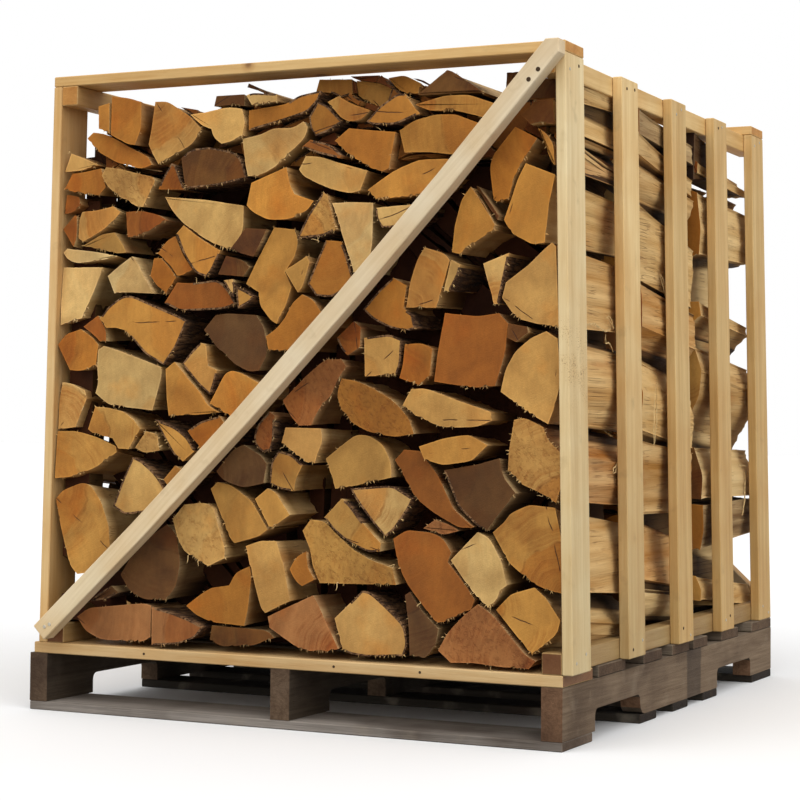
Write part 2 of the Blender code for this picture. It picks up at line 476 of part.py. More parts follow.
# The logs that lie loose on top of the front row, from left to right. The last four are pushed in.
TOP_LOGS = (
    ((12.5, 112.6), (14.8, 113.1), (15, 107.4), (12.7, 108.4)),
    ((15.4, 114.3), (19, 113.8), (22.1, 112.9), (22.3, 108), (21, 104.9), (19.5, 105.1), (15.5, 107.1)),
    ((24.8, 112.8), (27.5, 112.7), (32.3, 109.8), (35, 107.2), (33, 104.6), (29, 102.7), (25.7, 101.2),
     (24.6, 102.7), (23.4, 105), (24, 107.5)),
    ((32.8, 109.9), (36, 110.2), (41, 110.9), (43.5, 110.4), (44.3, 108), (43.8, 105.6), (42, 104.7),
     (39.5, 104.3), (37.8, 105.5), (37.3, 107.1), (35.6, 107.6)),
    ((44.7, 106.5), (44.7, 110.1), (52.5, 110.8), (55, 112.2), (59.5, 112.8), (59.2, 111.4),
     (56.8, 109.2), (51, 107.8)),
    ((57.2, 108.2), (59, 110.8), (60.8, 110.2), (64, 107), (61.5, 105.6), (58.5, 104.8), (57.5, 105.8)),
    ((61.3, 110.6), (63.3, 111.5), (66, 110), (69.6, 108.7), (68.2, 107.2), (65.6, 106.8),
     (64.3, 107.4)),
    ((68.8, 106.8), (71, 109.1), (74.8, 111.4), (76.3, 111.2), (77.7, 109), (79, 107.7), (74.4, 106),
     (69.6, 106.2)),
    ((78.4, 109.2), (84, 110.4), (88.5, 110.3), (93.2, 108.6), (91.7, 106.2), (86, 107.8), (81, 108)),
    ((98.1, 106.4), (100.8, 108.8), (103.8, 108.8), (104.1, 104.6), (101.6, 104.8), (99.8, 104.7)),
    ((37.8, 111.2), (38.3, 113), (44, 113), (44, 111), (41, 111.3)),
    ((44.8, 112.7), (45.5, 113.1), (51, 112.6), (51.1, 111.3), (46, 110.9)),
    ((78.6, 111), (84.2, 114.9), (85.2, 114.7), (91, 110.7), (88.4, 110.8), (84, 110.9)),
    ((56.6, 113.2), (57.2, 115.5), (63.6, 115.2), (63.8, 112.6), (61.6, 112), (59.6, 113.1)),
    ((64.2, 115), (69, 114.2), (72, 112.8), (71.4, 110.7), (69.9, 109.8), (66.6, 110.9), (64.6, 112.4)),
    ((72.4, 113.2), (70.8, 115), (74, 115.3), (77.4, 113.6), (76.8, 111.9), (74.6, 111.8)),
    ((93.1, 110.6), (93.2, 114.7), (97.7, 114.7), (102.2, 113), (104.6, 112.7), (104.8, 109.3),
     (98, 109.6)),
)
PUSHED_IN = 4                   # how many of them
PUSH = 0.045                    # how far

# The logs stacked loosely in the back row's right corner, in place of those of the front row.
CORNER = 0.965                  # they stand to the right of this
CORNER_LOGS = (
    ((97.6, 19.3), (105, 18.9), (105.3, 21), (104, 23.8), (98.2, 24.1)),
    ((97.4, 29.5), (104.8, 28.9), (105.5, 33), (105.4, 38), (98.6, 38.5)),
    ((98.6, 39.6), (105.2, 39.2), (105.4, 44), (103.4, 49.6), (98.9, 49.8)),
    ((96.6, 51.4), (99.8, 50.8), (104.6, 59.6), (105.3, 65), (103.6, 70.2), (97.2, 70)),
    ((96.8, 71.2), (99.6, 71.2), (104.8, 76.2), (104.4, 79), (97, 78.9)),
    ((96.4, 80.2), (97.9, 79.8), (98.7, 87.6), (104.6, 88.4), (105, 94), (104.2, 101), (102.2, 101.8),
     (99.4, 98.4), (97.2, 95)),
    ((97.7, 105.3), (103.9, 105.1), (104, 107.2), (101, 109.6), (97.5, 109.3)),
)

# The logs' far ends and the dark wood seen deep between them: a body behind the outlines.
CORE = (
    (12, 15), (46, 15), (99, 15.5), (103, 21), (104, 28), (104, 40), (103, 50), (103.5, 60),
    (103.5, 75), (101.5, 86), (102.4, 95), (103.4, 100.5), (97, 102), (91, 100), (88, 104), (78, 104),
    (68, 103.5), (57, 102.3), (52, 102.5), (45, 100), (31, 100), (25.5, 99), (22.5, 101), (11, 105),
    (7, 102), (6, 92), (6, 75), (6.5, 50), (7.5, 38), (9, 29), (12, 24),
)

ROWS = {"front": (0.004, 0.410), "middle": (0.420, 0.800), "back": (0.810, 1.214)}
RECESS = 0.055                  # from the ends of the logs to the body behind
TURNED_ROUND = 105.5            # the middle row's logs lie upside down: their heights count from here
TURNED_SCALE = 0.99             # and are this much of those in the front row
LOG_CLEAR = 0.001               # from a log to the crate's sides


# The middle row's lowest logs, between the rails, and those heaped highest, at its right side.
MIDDLE_LOGS = (
    ((10, 12.7), (98, 12.7), (97, 24), (11, 24)),
    ((95, 104), (98.2, 103), (104.9, 104.4), (104.9, 108.6), (99.4, 108), (94.6, 109.3)),
    ((97.6, 107.2), (104.8, 108.2), (104.7, 112.8), (101, 112.8), (97, 110.6)),
)


def other_way(outline):
    """A log's outline as it lies in the middle row, upside down and above the rails."""
    lowest = 100 * (RAIL_BOTTOM + RAIL + 2 * LOG_CLEAR)
    return [(across, lowest + (TURNED_ROUND - up) * TURNED_SCALE) for across, up in outline]


def within_crate(across, up):
    """A point of a log's end, kept off the posts and the rails."""
    rise = max(0, up - DECK_TOP) / (CRATE_HEIGHT - DECK_TOP)
    thick = POST_THICKNESS + LOG_CLEAR
    if up < RAIL_BOTTOM + RAIL + LOG_CLEAR or up > FRAME_TOP - RAIL - LOG_CLEAR:
        thick += RAIL + GAP
    low = CRATE_SHIFT + LEAN_LEFT * rise + thick
    high = PALLET_WIDTH + CRATE_SHIFT - LEAN_RIGHT * rise - thick
    return min(max(across, low), high), max(up, DECK_TOP + LOG_CLEAR)


def middle_of(outline):
    """How far across a log's outline lies, on average."""
    return sum(across for across, _ in outline) / len(outline)


def in_metres(outline):
    """A log's outline in metres, from the pallet's left side and the floor, run anticlockwise."""
    points = [Vector(within_crate(across / 100, up / 100)) for across, up in outline]
    area = sum(points[index - 1].cross(point) for index, point in enumerate(points))
    return points if area > 0 else points[::-1]


def along_crate(point):
    """As on_pallet, for the logs: they lie along the crate, so turned as it is."""
    return on_pallet(point) - Vector((CRATE_SHIFT * point.y / PALLET_DEPTH, 0, 0))


def step_back(number):
    """How far log number's end stands behind the foremost ones."""
    return 0.010 * (number * 7 % 12) / 11


def finish_logs(name, shape, material):
    """Lay the logs along the crate and make them one named piece."""
    bmesh.ops.triangulate(shape, faces=shape.faces)
    for corner in shape.verts:
        corner.co = along_crate(corner.co)
    face_outwards(shape)
    mesh = bpy.data.meshes.new(name)
    shape.to_mesh(mesh)
    shape.free()
    return add_piece(name, mesh, material)


def push(shape, faces, distance):
    """Draw faces out along the crate, leaving walls behind them."""
    edges = list({edge for face in faces for edge in face.edges})
    drawn = bmesh.ops.extrude_face_region(shape, geom=faces + edges)["geom"]
    moved = [item for item in drawn if isinstance(item, bmesh.types.BMVert)]
    bmesh.ops.translate(shape, vec=(0, distance, 0), verts=moved)
    return [item for item in drawn if isinstance(item, bmesh.types.BMFace)]


def join_flat(shape, faces):
    """Join faces that lie in one plane."""
    corners = list({corner for face in faces for corner in face.verts})
    edges = list({edge for face in faces for edge in face.edges})
    bmesh.ops.dissolve_limit(shape, angle_limit=0.001, verts=corners, edges=edges)


def row_of_logs(row, outward, material):
    """A row of logs as one body, their ends standing out at its front (-1), its back (1) or not."""
    near, far = ROWS[row]
    start, end = (far, near) if outward > 0 else (near, far)
    start -= outward * RECESS
    body = CORE
    logs = STACKED_LOGS
    if row == "middle":
        body = other_way(body)
        logs = [other_way(outline) for outline in logs] + list(MIDDLE_LOGS)
    if row == "back":
        body = [(min(across, 100 * CORNER - 3), up) for across, up in body]
        logs = [outline for outline in logs if middle_of(outline) < 100 * CORNER]
    corners = []
    loops = []
    for outline in (body, *logs):
        loops.append(list(range(len(corners), len(corners) + len(outline))))
        corners += in_metres(outline)
    found = geometry.delaunay_2d_cdt(corners, [], loops, 1, 1e-5, True)
    shape = bmesh.new()
    verts = [shape.verts.new((across, start, up)) for across, up in found[0]]
    ends = {}
    for patch, sources in zip(found[2], found[5]):
        if sources:
            face = shape.faces.new([verts[index] for index in patch])
            ends.setdefault(max(sources), []).append(face)
    near_end = list(shape.faces)
    far_end = push(shape, near_end, end - start)
    join_flat(shape, far_end)
    if not outward:
        join_flat(shape, near_end)
    for number, faces in ends.items():
        if number and outward:
            push(shape, faces, outward * (RECESS - step_back(number)))
    finish_logs(f"firewood_{row}_row", shape, material)


def loose_log(name, outline, near, far, material):
    """One log lying by itself on top of a row."""
    shape = bmesh.new()
    corners = [shape.verts.new((across, near, up)) for across, up in in_metres(outline)]
    push(shape, [shape.faces.new(corners)], far - near)
    finish_logs(name, shape, material)


def build_firewood(split):
    """Three rows of logs, the logs loose on the front row and those in the back row's corner."""
    row_of_logs("front", -1, split)
    row_of_logs("middle", 0, split)
    row_of_logs("back", 1, split)
    near, far = ROWS["front"]
    for number, outline in enumerate(TOP_LOGS, 1):
        pushed = PUSH if number > len(TOP_LOGS) - PUSHED_IN else 0
        start = near + step_back(number) + pushed
        loose_log(f"front_top_log_{number}", outline, start, far - step_back(number + 5), split)
    near, far = ROWS["back"]
    for number, outline in enumerate(CORNER_LOGS, 1):
        start = near + step_back(number + 3)
        loose_log(f"back_corner_log_{number}", outline, start, far - step_back(number), split)


def main():
    """Build every piece."""
    clear_scene()
    fresh = wood("fresh_softwood", (0.66, 0.47, 0.24), 0.6)
    weathered = wood("weathered_softwood", (0.30, 0.23, 0.16), 0.8)
    split = wood("split_firewood", (0.46, 0.26, 0.11), 0.8)
    build_pallet(weathered, fresh)
    build_crate(fresh)
    build_firewood(split)


main()
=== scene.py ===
# %% [markdown]
# # A pallet of split firewood
#
# A square slatted crate stands on a weathered pallet and holds three rows of split logs, sawn ends
# outwards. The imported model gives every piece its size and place. This lesson keeps the sawn boards as
# they are and gives them wood that looks like wood, and it models the logs afresh, because a split log
# has torn edges, ridges along its grain and bark that a plain solid doesn't show.

# %% Load the frame
import math
import random

import bmesh
import bpy
from mathutils import Matrix, Vector, geometry, noise
from mathutils.bvhtree import BVHTree


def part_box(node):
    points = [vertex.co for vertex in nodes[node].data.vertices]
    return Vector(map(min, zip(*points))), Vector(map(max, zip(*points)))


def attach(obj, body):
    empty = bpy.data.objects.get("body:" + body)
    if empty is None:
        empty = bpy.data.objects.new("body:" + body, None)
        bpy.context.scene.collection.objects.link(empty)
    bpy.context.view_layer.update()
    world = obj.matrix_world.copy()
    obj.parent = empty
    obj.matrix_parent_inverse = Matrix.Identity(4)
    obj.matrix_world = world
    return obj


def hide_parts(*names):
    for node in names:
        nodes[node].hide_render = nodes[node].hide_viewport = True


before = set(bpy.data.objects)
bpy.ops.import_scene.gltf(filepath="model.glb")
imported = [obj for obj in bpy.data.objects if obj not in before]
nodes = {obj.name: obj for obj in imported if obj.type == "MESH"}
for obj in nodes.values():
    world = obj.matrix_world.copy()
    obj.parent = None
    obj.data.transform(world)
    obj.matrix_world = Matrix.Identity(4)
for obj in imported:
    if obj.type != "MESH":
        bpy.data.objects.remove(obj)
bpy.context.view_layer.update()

scene = bpy.context.scene

# %% [markdown]
# ## Camera
#
# The camera stands low and to the right of the front, with a long lens, so that the crate's uprights
# stay nearly parallel.

# %% The camera
camera = bpy.data.objects.new("camera", bpy.data.cameras.new("camera"))
scene.collection.objects.link(camera)
scene.camera = camera
camera.data.lens = 95.96
camera.data.sensor_width = 36
camera.data.shift_y = -0.1
turned = Matrix.Rotation(math.radians(26.0), 4, "Z")
lifted = Matrix.Rotation(math.radians(90 + 2.66), 4, "X")
rolled = Matrix.Rotation(math.radians(0.54), 4, "Z")
camera.matrix_world = Matrix.Translation((1.832, -3.9155, 0.547)) @ turned @ lifted @ rolled
print("lens:", round(camera.data.lens), "mm")

# %% [markdown]
# ## Helpers for materials
#
# Every finish here is a small network of nodes. A class holds the network and adds nodes to it with
# their values or links, does sums and mixes colours, so that each material below reads as a list of what
# it is made of.


# %% Node helpers
def linear(red, green, blue):
    """A colour given from 0 to 255, as a shader wants it."""
    shares = [channel / 255 for channel in (red, green, blue)]
    return (*[((share + 0.055) / 1.055) ** 2.4 for share in shares], 1)


class Nodes:
    """A network of nodes, and short ways to add to it."""

    def __init__(self, tree):
        self.tree = tree

    def feed(self, socket, value):
        """Link a socket to another one, or give it a number."""
        if isinstance(value, bpy.types.NodeSocket):
            self.tree.links.new(value, socket)
        else:
            socket.default_value = value

    def add(self, kind, values=None, **settings):
        """A new node: settings are its options, values are its sockets' numbers or incoming links."""
        made = self.tree.nodes.new("ShaderNode" + kind)
        for name, value in settings.items():
            setattr(made, name, value)
        for socket, value in (values or {}).items():
            self.feed(made.inputs[socket], value)
        return made

    def work_out(self, operation, *values):
        """A sum on one, two or three numbers."""
        return self.add("Math", dict(enumerate(values)), operation=operation).outputs[0]

    def times(self, first, second):
        """A product."""
        return self.work_out("MULTIPLY", first, second)

    def away_from(self, value, middle):
        """How far a number is from a middle, to either side."""
        return self.work_out("ABSOLUTE", self.work_out("SUBTRACT", value, middle))

    def mix(self, factor, first, second, blend="MIX"):
        """Two colours mixed."""
        values = {0: factor, 6: first, 7: second}
        return self.add("Mix", values, data_type="RGBA", blend_type=blend).outputs[2]

    def multiplied(self, first, second):
        """Two colours multiplied."""
        return self.mix(1.0, first, second, "MULTIPLY")

    def spread(self, value, low, high, to_low=0.0, to_high=1.0):
        """A number that runs from low to high, stretched to another range and held there."""
        values = {"Value": value, "From Min": low, "From Max": high, "To Min": to_low, "To Max": to_high}
        return self.add("MapRange", values).outputs[0]

    def falling(self, value, low, high):
        """1 below low, falling to 0 at high."""
        return self.spread(value, low, high, 1.0, 0.0)

    def cloud(self, vector, scale, detail=2.0, roughness=0.5, distortion=0.0):
        """Noise as a number from 0 to 1."""
        values = {"Vector": vector, "Scale": scale, "Detail": detail, "Roughness": roughness,
                  "Distortion": distortion}
        return self.add("TexNoise", values).outputs["Fac"]

    def stretched(self, vector, scale, turn=None):
        """Coordinates scaled, after a turn if one is given."""
        if turn:
            vector = self.add("Mapping", {"Vector": vector, "Rotation": turn}).outputs[0]
        return self.add("Mapping", {"Vector": vector, "Scale": scale}).outputs[0]

    def carried(self, name, output="Fac"):
        """What a mesh carries under a name."""
        return self.add("Attribute", attribute_name=name).outputs[output]

    def parts(self, vector):
        """X, Y and Z of a vector."""
        return self.add("SeparateXYZ", {0: vector}).outputs

    def here(self, output="Object"):
        """The point on the piece, or with Normal, the way its surface looks."""
        return self.add("TexCoord").outputs[output]

    def use(self, group, **values):
        """A group placed here, with its own values."""
        made = self.add("Group", node_tree=group)
        for socket, value in values.items():
            self.feed(made.inputs[socket], value)
        return made.outputs

    def stain(self, vector, scale, cover):
        """A mask of soft patches."""
        return self.use(STAINS, Vector=vector, Scale=scale, Cover=cover)["Stain"]


class Finish(Nodes):
    """A material in the making, with its shader and its colour so far."""

    def __init__(self, name, roughness, colour=None):
        self.material = bpy.data.materials.new(name)
        self.material.use_nodes = True
        super().__init__(self.material.node_tree)
        self.shader = self.tree.nodes["Principled BSDF"]
        self.shader.inputs["Roughness"].default_value = roughness
        self.shader.inputs["Specular IOR Level"].default_value = 0.25
        self.colour = colour

    def paint(self, mask, colour, share=1.0):
        """Cover the colour with another one, as far as a mask and a share say."""
        self.colour = self.mix(mask if share == 1.0 else self.times(mask, share), self.colour, colour)

    def tint(self, mask, by, share=1.0):
        """Multiply the colour by another one, as far as a mask and a share say."""
        self.paint(mask, self.multiplied(self.colour, by), share)

    def finish(self, height=None, distance=0.0, strength=1.0):
        """Give the shader the colour, and a surface that is raised where the height is high."""
        self.feed(self.shader.inputs["Base Color"], self.colour)
        if height is not None:
            values = {"Height": height, "Distance": distance, "Strength": strength}
            self.feed(self.shader.inputs["Normal"], self.add("Bump", values).outputs[0])
        return self.material


class Group(Nodes):
    """A node group with its sockets; a socket that is given no value is a vector."""

    def __init__(self, name, results, **inputs):
        self.group = bpy.data.node_groups.new(name, "ShaderNodeTree")
        super().__init__(self.group)
        for label, value in inputs.items():
            kind = "NodeSocketVector" if value is None else "NodeSocketFloat"
            socket = self.group.interface.new_socket(label, in_out="INPUT", socket_type=kind)
            if value is not None:
                socket.default_value = value
        for label in results:
            self.group.interface.new_socket(label, in_out="OUTPUT", socket_type="NodeSocketFloat")
        self.given = self.group.nodes.new("NodeGroupInput").outputs
        self.results = self.group.nodes.new("NodeGroupOutput").inputs


print("helpers ready")

# %% [markdown]
# ## Floor and light
#
# The floor is one pale plane. Two large soft lights and a white sky give the even light of an overcast
# yard and bright faces; the gaps between the logs fall off to black, partly by painted shade in the logs'
# colours.


# %% Floor and lights
def deselect_all():
    """Nothing is selected, so the next operator acts only on what is picked after this."""
    for thing in bpy.context.selected_objects:
        thing.select_set(False)
    bpy.context.view_layer.objects.active = None


def pick(piece):
    """Select one object alone."""
    deselect_all()
    piece.select_set(True)
    bpy.context.view_layer.objects.active = piece


def put_in_scene(name, data):
    """A new object for a mesh or a light."""
    made = bpy.data.objects.new(name, data)
    scene.collection.objects.link(made)
    return made


deselect_all()
bpy.ops.mesh.primitive_plane_add(size=60)
floor = bpy.context.object
floor.name = "floor"
paper = bpy.data.materials.new("pale_floor")
paper.use_nodes = True
paper.node_tree.nodes["Principled BSDF"].inputs["Base Color"].default_value = (0.86, 0.86, 0.86, 1)
paper.node_tree.nodes["Principled BSDF"].inputs["Roughness"].default_value = 0.9
floor.data.materials.append(paper)
floor.visible_diffuse = False   # it throws no light back, so the wood isn't lit from below


def sky_light(above, below):
    """A white sky over darker ground, seen as plain white."""
    sky = bpy.data.worlds.new("white_sky")
    sky.use_nodes = True
    air = Nodes(sky.node_tree)
    backdrop = sky.node_tree.nodes["Background"]
    backdrop.inputs["Color"].default_value = (1, 1, 1, 1)
    rise = air.spread(air.parts(air.here("Generated"))[2], -0.2, 0.1, below, above)
    seen = air.add("LightPath").outputs["Is Camera Ray"]
    air.feed(backdrop.inputs["Strength"], air.work_out("MAXIMUM", rise, seen))
    scene.world = sky


def soft_sun(towards, strength, softness):
    """Light from one side of the sky, with soft shadows."""
    lamp = bpy.data.lights.new("soft_sun", "SUN")
    lamp.energy = strength
    lamp.angle = softness
    put_in_scene("soft_sun", lamp).rotation_euler = Vector(towards).to_track_quat("Z", "Y").to_euler()


sky_light(above=0.75, below=0.3)
soft_sun(towards=(0.12, -0.62, 0.77), strength=1.85, softness=math.radians(75))
soft_sun(towards=(0.95, -0.2, 0.3), strength=0.95, softness=math.radians(60))
scene.view_settings.view_transform = "Standard"

# %% [markdown]
# ## Grain, knots and stains
#
# Sawn boards, split faces and log ends all need the same few effects, so each effect is a node group,
# made once. Grain is noise on coordinates that are squeezed across the wood and long along it, bent a
# little so that the lines wander. A knot is a dark spot with a ring, at a few of a set of scattered
# points. A stain is broad, soft noise with a sharp end.


# %% The groups
def grain_group():
    """Streaks along the wood: a colour mask and a height."""
    made = Group("grain", ("Streaks", "Height"), Vector=None, Wander=0.6, Fine=0.5)
    vector = made.given["Vector"]
    bend = made.add("TexNoise", {"Vector": vector, "Scale": 0.35, "Detail": 1.0}).outputs["Color"]
    away = made.add("VectorMath", {0: bend, 1: (0.5, 0.5, 0.5)}, operation="SUBTRACT").outputs[0]
    pushed = made.add("VectorMath", {0: away, "Scale": made.given["Wander"]}, operation="SCALE").outputs[0]
    bent = made.add("VectorMath", {0: vector, 1: pushed}, operation="ADD").outputs[0]
    broad = made.cloud(bent, 1.1, 1.0)
    fine = made.cloud(bent, 5.0, 4.0, 0.6)
    both = made.add("Mix", {0: made.given["Fine"], 2: broad, 3: fine}, data_type="FLOAT").outputs[0]
    made.feed(made.results["Streaks"], made.spread(both, 0.3, 0.7))
    made.feed(made.results["Height"], fine)
    return made.group


def knot_group():
    """A few knots: dark in the middle with a darker ring."""
    made = Group("knots", ("Knot", "Ring"), Vector=None, Share=0.3, Size=0.1)
    cells = made.add("TexVoronoi", {"Vector": made.given["Vector"], "Scale": 1.0}).outputs
    red = made.add("SeparateColor", {0: cells["Color"]}).outputs[0]
    chosen = made.work_out("LESS_THAN", red, made.given["Share"])
    reach = made.work_out("DIVIDE", cells["Distance"], made.given["Size"])
    made.feed(made.results["Knot"], made.times(made.falling(reach, 0.7, 1.0), chosen))
    ring = made.falling(made.away_from(reach, 1.0), 0.0, 0.6)
    made.feed(made.results["Ring"], made.times(ring, chosen))
    return made.group


def stain_group():
    """Soft patches, with how much of the surface they cover."""
    made = Group("stains", ("Stain",), Vector=None, Scale=5.0, Cover=0.4)
    patches = made.cloud(made.given["Vector"], made.given["Scale"], 4.0)
    edge = made.work_out("SUBTRACT", 1.0, made.given["Cover"])
    made.feed(made.results["Stain"], made.spread(patches, edge, made.work_out("ADD", edge, 0.18)))
    return made.group


GRAIN = grain_group()
KNOTS = knot_group()
STAINS = stain_group()
print("groups:", [group.name for group in bpy.data.node_groups])

# %% [markdown]
# ## Fresh softwood
#
# The crate is nailed together from pale new boards. Their grain runs along each board, so one recipe is
# used for four directions: upright, to the back, across and along the brace. Where a board is cut off,
# the end grain is darker and warmer, which the shader finds by comparing the face's normal with the
# direction of the grain.

# %% Fresh boards
ACROSS_GRAIN = 38.0             # how finely the grain repeats across a board, per metre
ALONG_GRAIN = 1.5               # and along it


class Board(Finish):
    """Sawn wood whose grain runs along X, Y or Z, or up a slope from X."""

    def __init__(self, name, roughness, axis, shades, wander, fine, slope=0.0):
        super().__init__(name, roughness)
        self.place = self.here()
        scale = [ACROSS_GRAIN] * 3
        scale["XYZ".index(axis)] = ALONG_GRAIN
        self.along = self.stretched(self.place, scale, (0, slope, 0) if slope else None)
        self.grain = self.use(GRAIN, Vector=self.along, Wander=wander, Fine=fine)
        pale, dark = [linear(*shade) for shade in shades]
        self.colour = self.mix(self.grain["Streaks"], dark, pale)
        axes = {"X": (math.cos(slope), 0, math.sin(slope)), "Y": (0, 1, 0), "Z": (0, 0, 1)}
        self.direction = axes[axis]

    def sawn_off(self, end, share):
        """A tint where a face looks along the grain."""
        facing = self.add("VectorMath", {0: self.here("Normal"), 1: self.direction}, operation="DOT_PRODUCT")
        cut = self.spread(self.work_out("ABSOLUTE", facing.outputs["Value"]), 0.8, 0.9)
        self.tint(cut, linear(*end), share)

    def worn(self, squeeze, scale, detail, distance, strength):
        """The finished material, with its grain and a fuzz of fibres raised."""
        fuzz = self.cloud(self.stretched(self.along, (squeeze,) * 3), scale, detail, 0.7)
        return self.finish(self.work_out("ADD", self.grain["Height"], fuzz), distance, strength)


def softwood(name, axis, shades, slope=0.0, end=(226, 190, 136), foot_shade=1.0, inside=1.0, specks=None):
    """Fresh sawn boards.

    Painted shade darkens them towards the foot, and on the side that looks to the right, inside the crate.
    Specks are small and dark, between two heights.
    """
    wood = Board(name, 0.62, axis, shades, 1.1, 0.45, slope)
    place = wood.place
    up = wood.parts(place)[2]
    wood.tint(wood.spread(wood.cloud(place, 7.0, 3.0), 0.35, 0.7, 0.0, 0.55), linear(238, 214, 178))
    knots = wood.use(KNOTS, Vector=wood.stretched(place, (9, 9, 9)), Share=0.3, Size=0.11)
    wood.paint(knots["Ring"], linear(168, 116, 62), 0.45)
    wood.paint(knots["Knot"], linear(118, 76, 42), 0.8)
    wood.paint(wood.stain(place, 26.0, 0.36), linear(150, 124, 84), 0.35)
    # Painted shade: darker towards the floor.
    wood.tint(wood.falling(up, 0.1, 0.9), (foot_shade, foot_shade * 0.97, foot_shade * 0.9, 1))
    # Painted shade on the faces that look to the right, inside the crate.
    if inside < 1:
        shade_to_right = wood.spread(wood.parts(wood.here("Normal"))[0], 0.5, 0.8)
        wood.tint(shade_to_right, (inside, inside * 0.93, inside * 0.84, 1))
    wood.sawn_off(end, 0.85)
    if specks:
        low, high = specks
        spots = wood.times(wood.spread(wood.cloud(place, 420.0), 0.56, 0.66),
                           wood.spread(wood.cloud(place, 28.0), 0.42, 0.6))
        between = wood.times(wood.spread(up, low - 0.03, low + 0.03),
                             wood.falling(up, high - 0.03, high + 0.03))
        wood.paint(wood.times(spots, between), linear(146, 108, 66))
    return wood.worn(squeeze=3, scale=6.0, detail=3.0, distance=0.0007, strength=0.7)


brace_low, brace_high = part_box("brace_front")
brace_slope = math.atan2(brace_high.z - brace_low.z, brace_high.x - brace_low.x)
FRESH = {
    "post_right_1": softwood("softwood_first_post", "Z", ((240, 220, 174), (212, 185, 136)), foot_shade=0.74,
                             specks=(0.58, 0.70)),
    "post_right_2": softwood("softwood_second_post", "Z", ((240, 213, 158), (212, 174, 114)), foot_shade=0.6),
    "post_right": softwood("softwood_upright", "Z", ((222, 191, 135), (188, 151, 92)), foot_shade=0.85),
    "post_left": softwood("softwood_left_post", "Z", ((236, 203, 150), (208, 168, 108)), foot_shade=0.85,
                          inside=0.74),
    "top_rail_right": softwood("softwood_to_back", "Y", ((232, 200, 142), (200, 160, 98))),
    "top_rail_left": softwood("softwood_left_rail", "Y", ((224, 192, 136), (190, 150, 92)), inside=0.7),
    # The low rails get darker colours than the other fresh boards: painted shade.
    "bottom_rail": softwood("softwood_low_rail_shaded", "Y", ((170, 146, 104), (140, 112, 70)), end=(150, 96, 70)),
    "top_board": softwood("softwood_across", "X", ((230, 198, 140), (196, 154, 93))),
    "deck_board_front": softwood("softwood_deck", "X", ((214, 189, 146), (181, 146, 98)),
                                 end=(128, 84, 52)),
    "brace": softwood("softwood_brace", "X", ((234, 218, 188), (212, 192, 156)), brace_slope),
}
print("brace slope:", round(math.degrees(brace_slope), 1))

# %% [markdown]
# ## Weathered softwood
#
# The pallet has stood outdoors: its boards are grey-brown, streaked along the grain, darker where they
# are damp and paler where the surface has dried and opened. The recipe is the same as for fresh boards,
# with more contrast, more stains and a rougher surface.


# %% Weathered boards
def weathered(name, axis, shades, end, shade_right_under=(1.0, 0.25), band=None):
    """Old grey boards, with a dark wet band between two places along Y if one is given.

    Painted shade darkens the side that looks to the right and the underside, by two given shares.
    """
    wood = Board(name, 0.9, axis, shades, 1.4, 0.6)
    wood.paint(wood.stain(wood.place, 4.5, 0.52), linear(58, 44, 34), 0.6)
    wood.paint(wood.stain(wood.place, 17.0, 0.42), linear(142, 130, 114), 0.4)
    wood.sawn_off(end, 0.7)
    if band:
        start, stop = band
        edge = wood.work_out("MULTIPLY_ADD", wood.cloud(wood.place, 25.0), 0.02, wood.parts(wood.place)[1])
        wet = wood.times(wood.spread(edge, start, start + 0.01),
                         wood.falling(edge, stop, stop + 0.01))
        wood.paint(wet, linear(44, 38, 36), 0.6)
    # Painted shade on the faces that look to the right and on those that look down.
    looks = wood.parts(wood.here("Normal"))
    for side, facing, share in ((0, 1, shade_right_under[0]), (2, -1, shade_right_under[1])):
        towards = wood.spread(wood.times(looks[side], facing), 0.5, 0.8)
        wood.tint(towards, (share, share * 0.92, share * 0.84, 1))
    return wood.worn(squeeze=2.2, scale=5.0, detail=4.0, distance=0.0014, strength=0.9)


OLD = {
    "stringer_right": weathered("weathered_stained", "Y", ((138, 122, 103), (92, 76, 59)),
                                (226, 172, 128), band=(0.045, 0.13)),
    "stringer": weathered("weathered_to_back", "Y", ((132, 118, 100), (84, 68, 52)), (178, 146, 118),
                          (0.3, 0.25)),
    "deck_board": weathered("weathered_across", "X", ((134, 121, 104), (86, 73, 59)), (176, 146, 118)),
    "bottom_board_front": weathered("weathered_bottom", "X", ((152, 143, 134), (108, 100, 92)),
                                    (200, 180, 160)),
    # The bottom boards behind the front one are almost black: painted shade under the pallet.
    "bottom_board": weathered("weathered_under_shaded", "X", ((54, 48, 40), (32, 28, 22)), (180, 150, 130)),
}
BOARDS = {**FRESH, **OLD}


def dress(name, node):
    """Give a board the finish whose key its name starts with; the longest such key counts."""
    keys = [key for key in BOARDS if name.startswith(key)]
    for slot in node.material_slots if keys else ():
        slot.material = BOARDS[max(keys, key=len)]
    return bool(keys)


print("boards dressed:", sum(dress(name, node) for name, node in nodes.items()))

# %% [markdown]
# ## Firewood
#
# A split log has three surfaces. Its sawn end is smooth and shows soft patches, faint rings and a few
# cracks. Its split flanks are fibrous, with streaks and ridges that run along the log. Where it lay
# under the bark, it keeps some: dark, rough plates. Each log has its own colour, so every mesh carries
# a "tone", the place of the log's "pith", how near a point is to the "rim" of the sawn end, how "rough"
# that end is, its own "traits", a "shift" that moves the pattern, so that no two logs share one, and
# "open_air", which falls from 1 outside the pile to nearly 0 deep in the gaps, where it darkens the
# colour as painted shade.


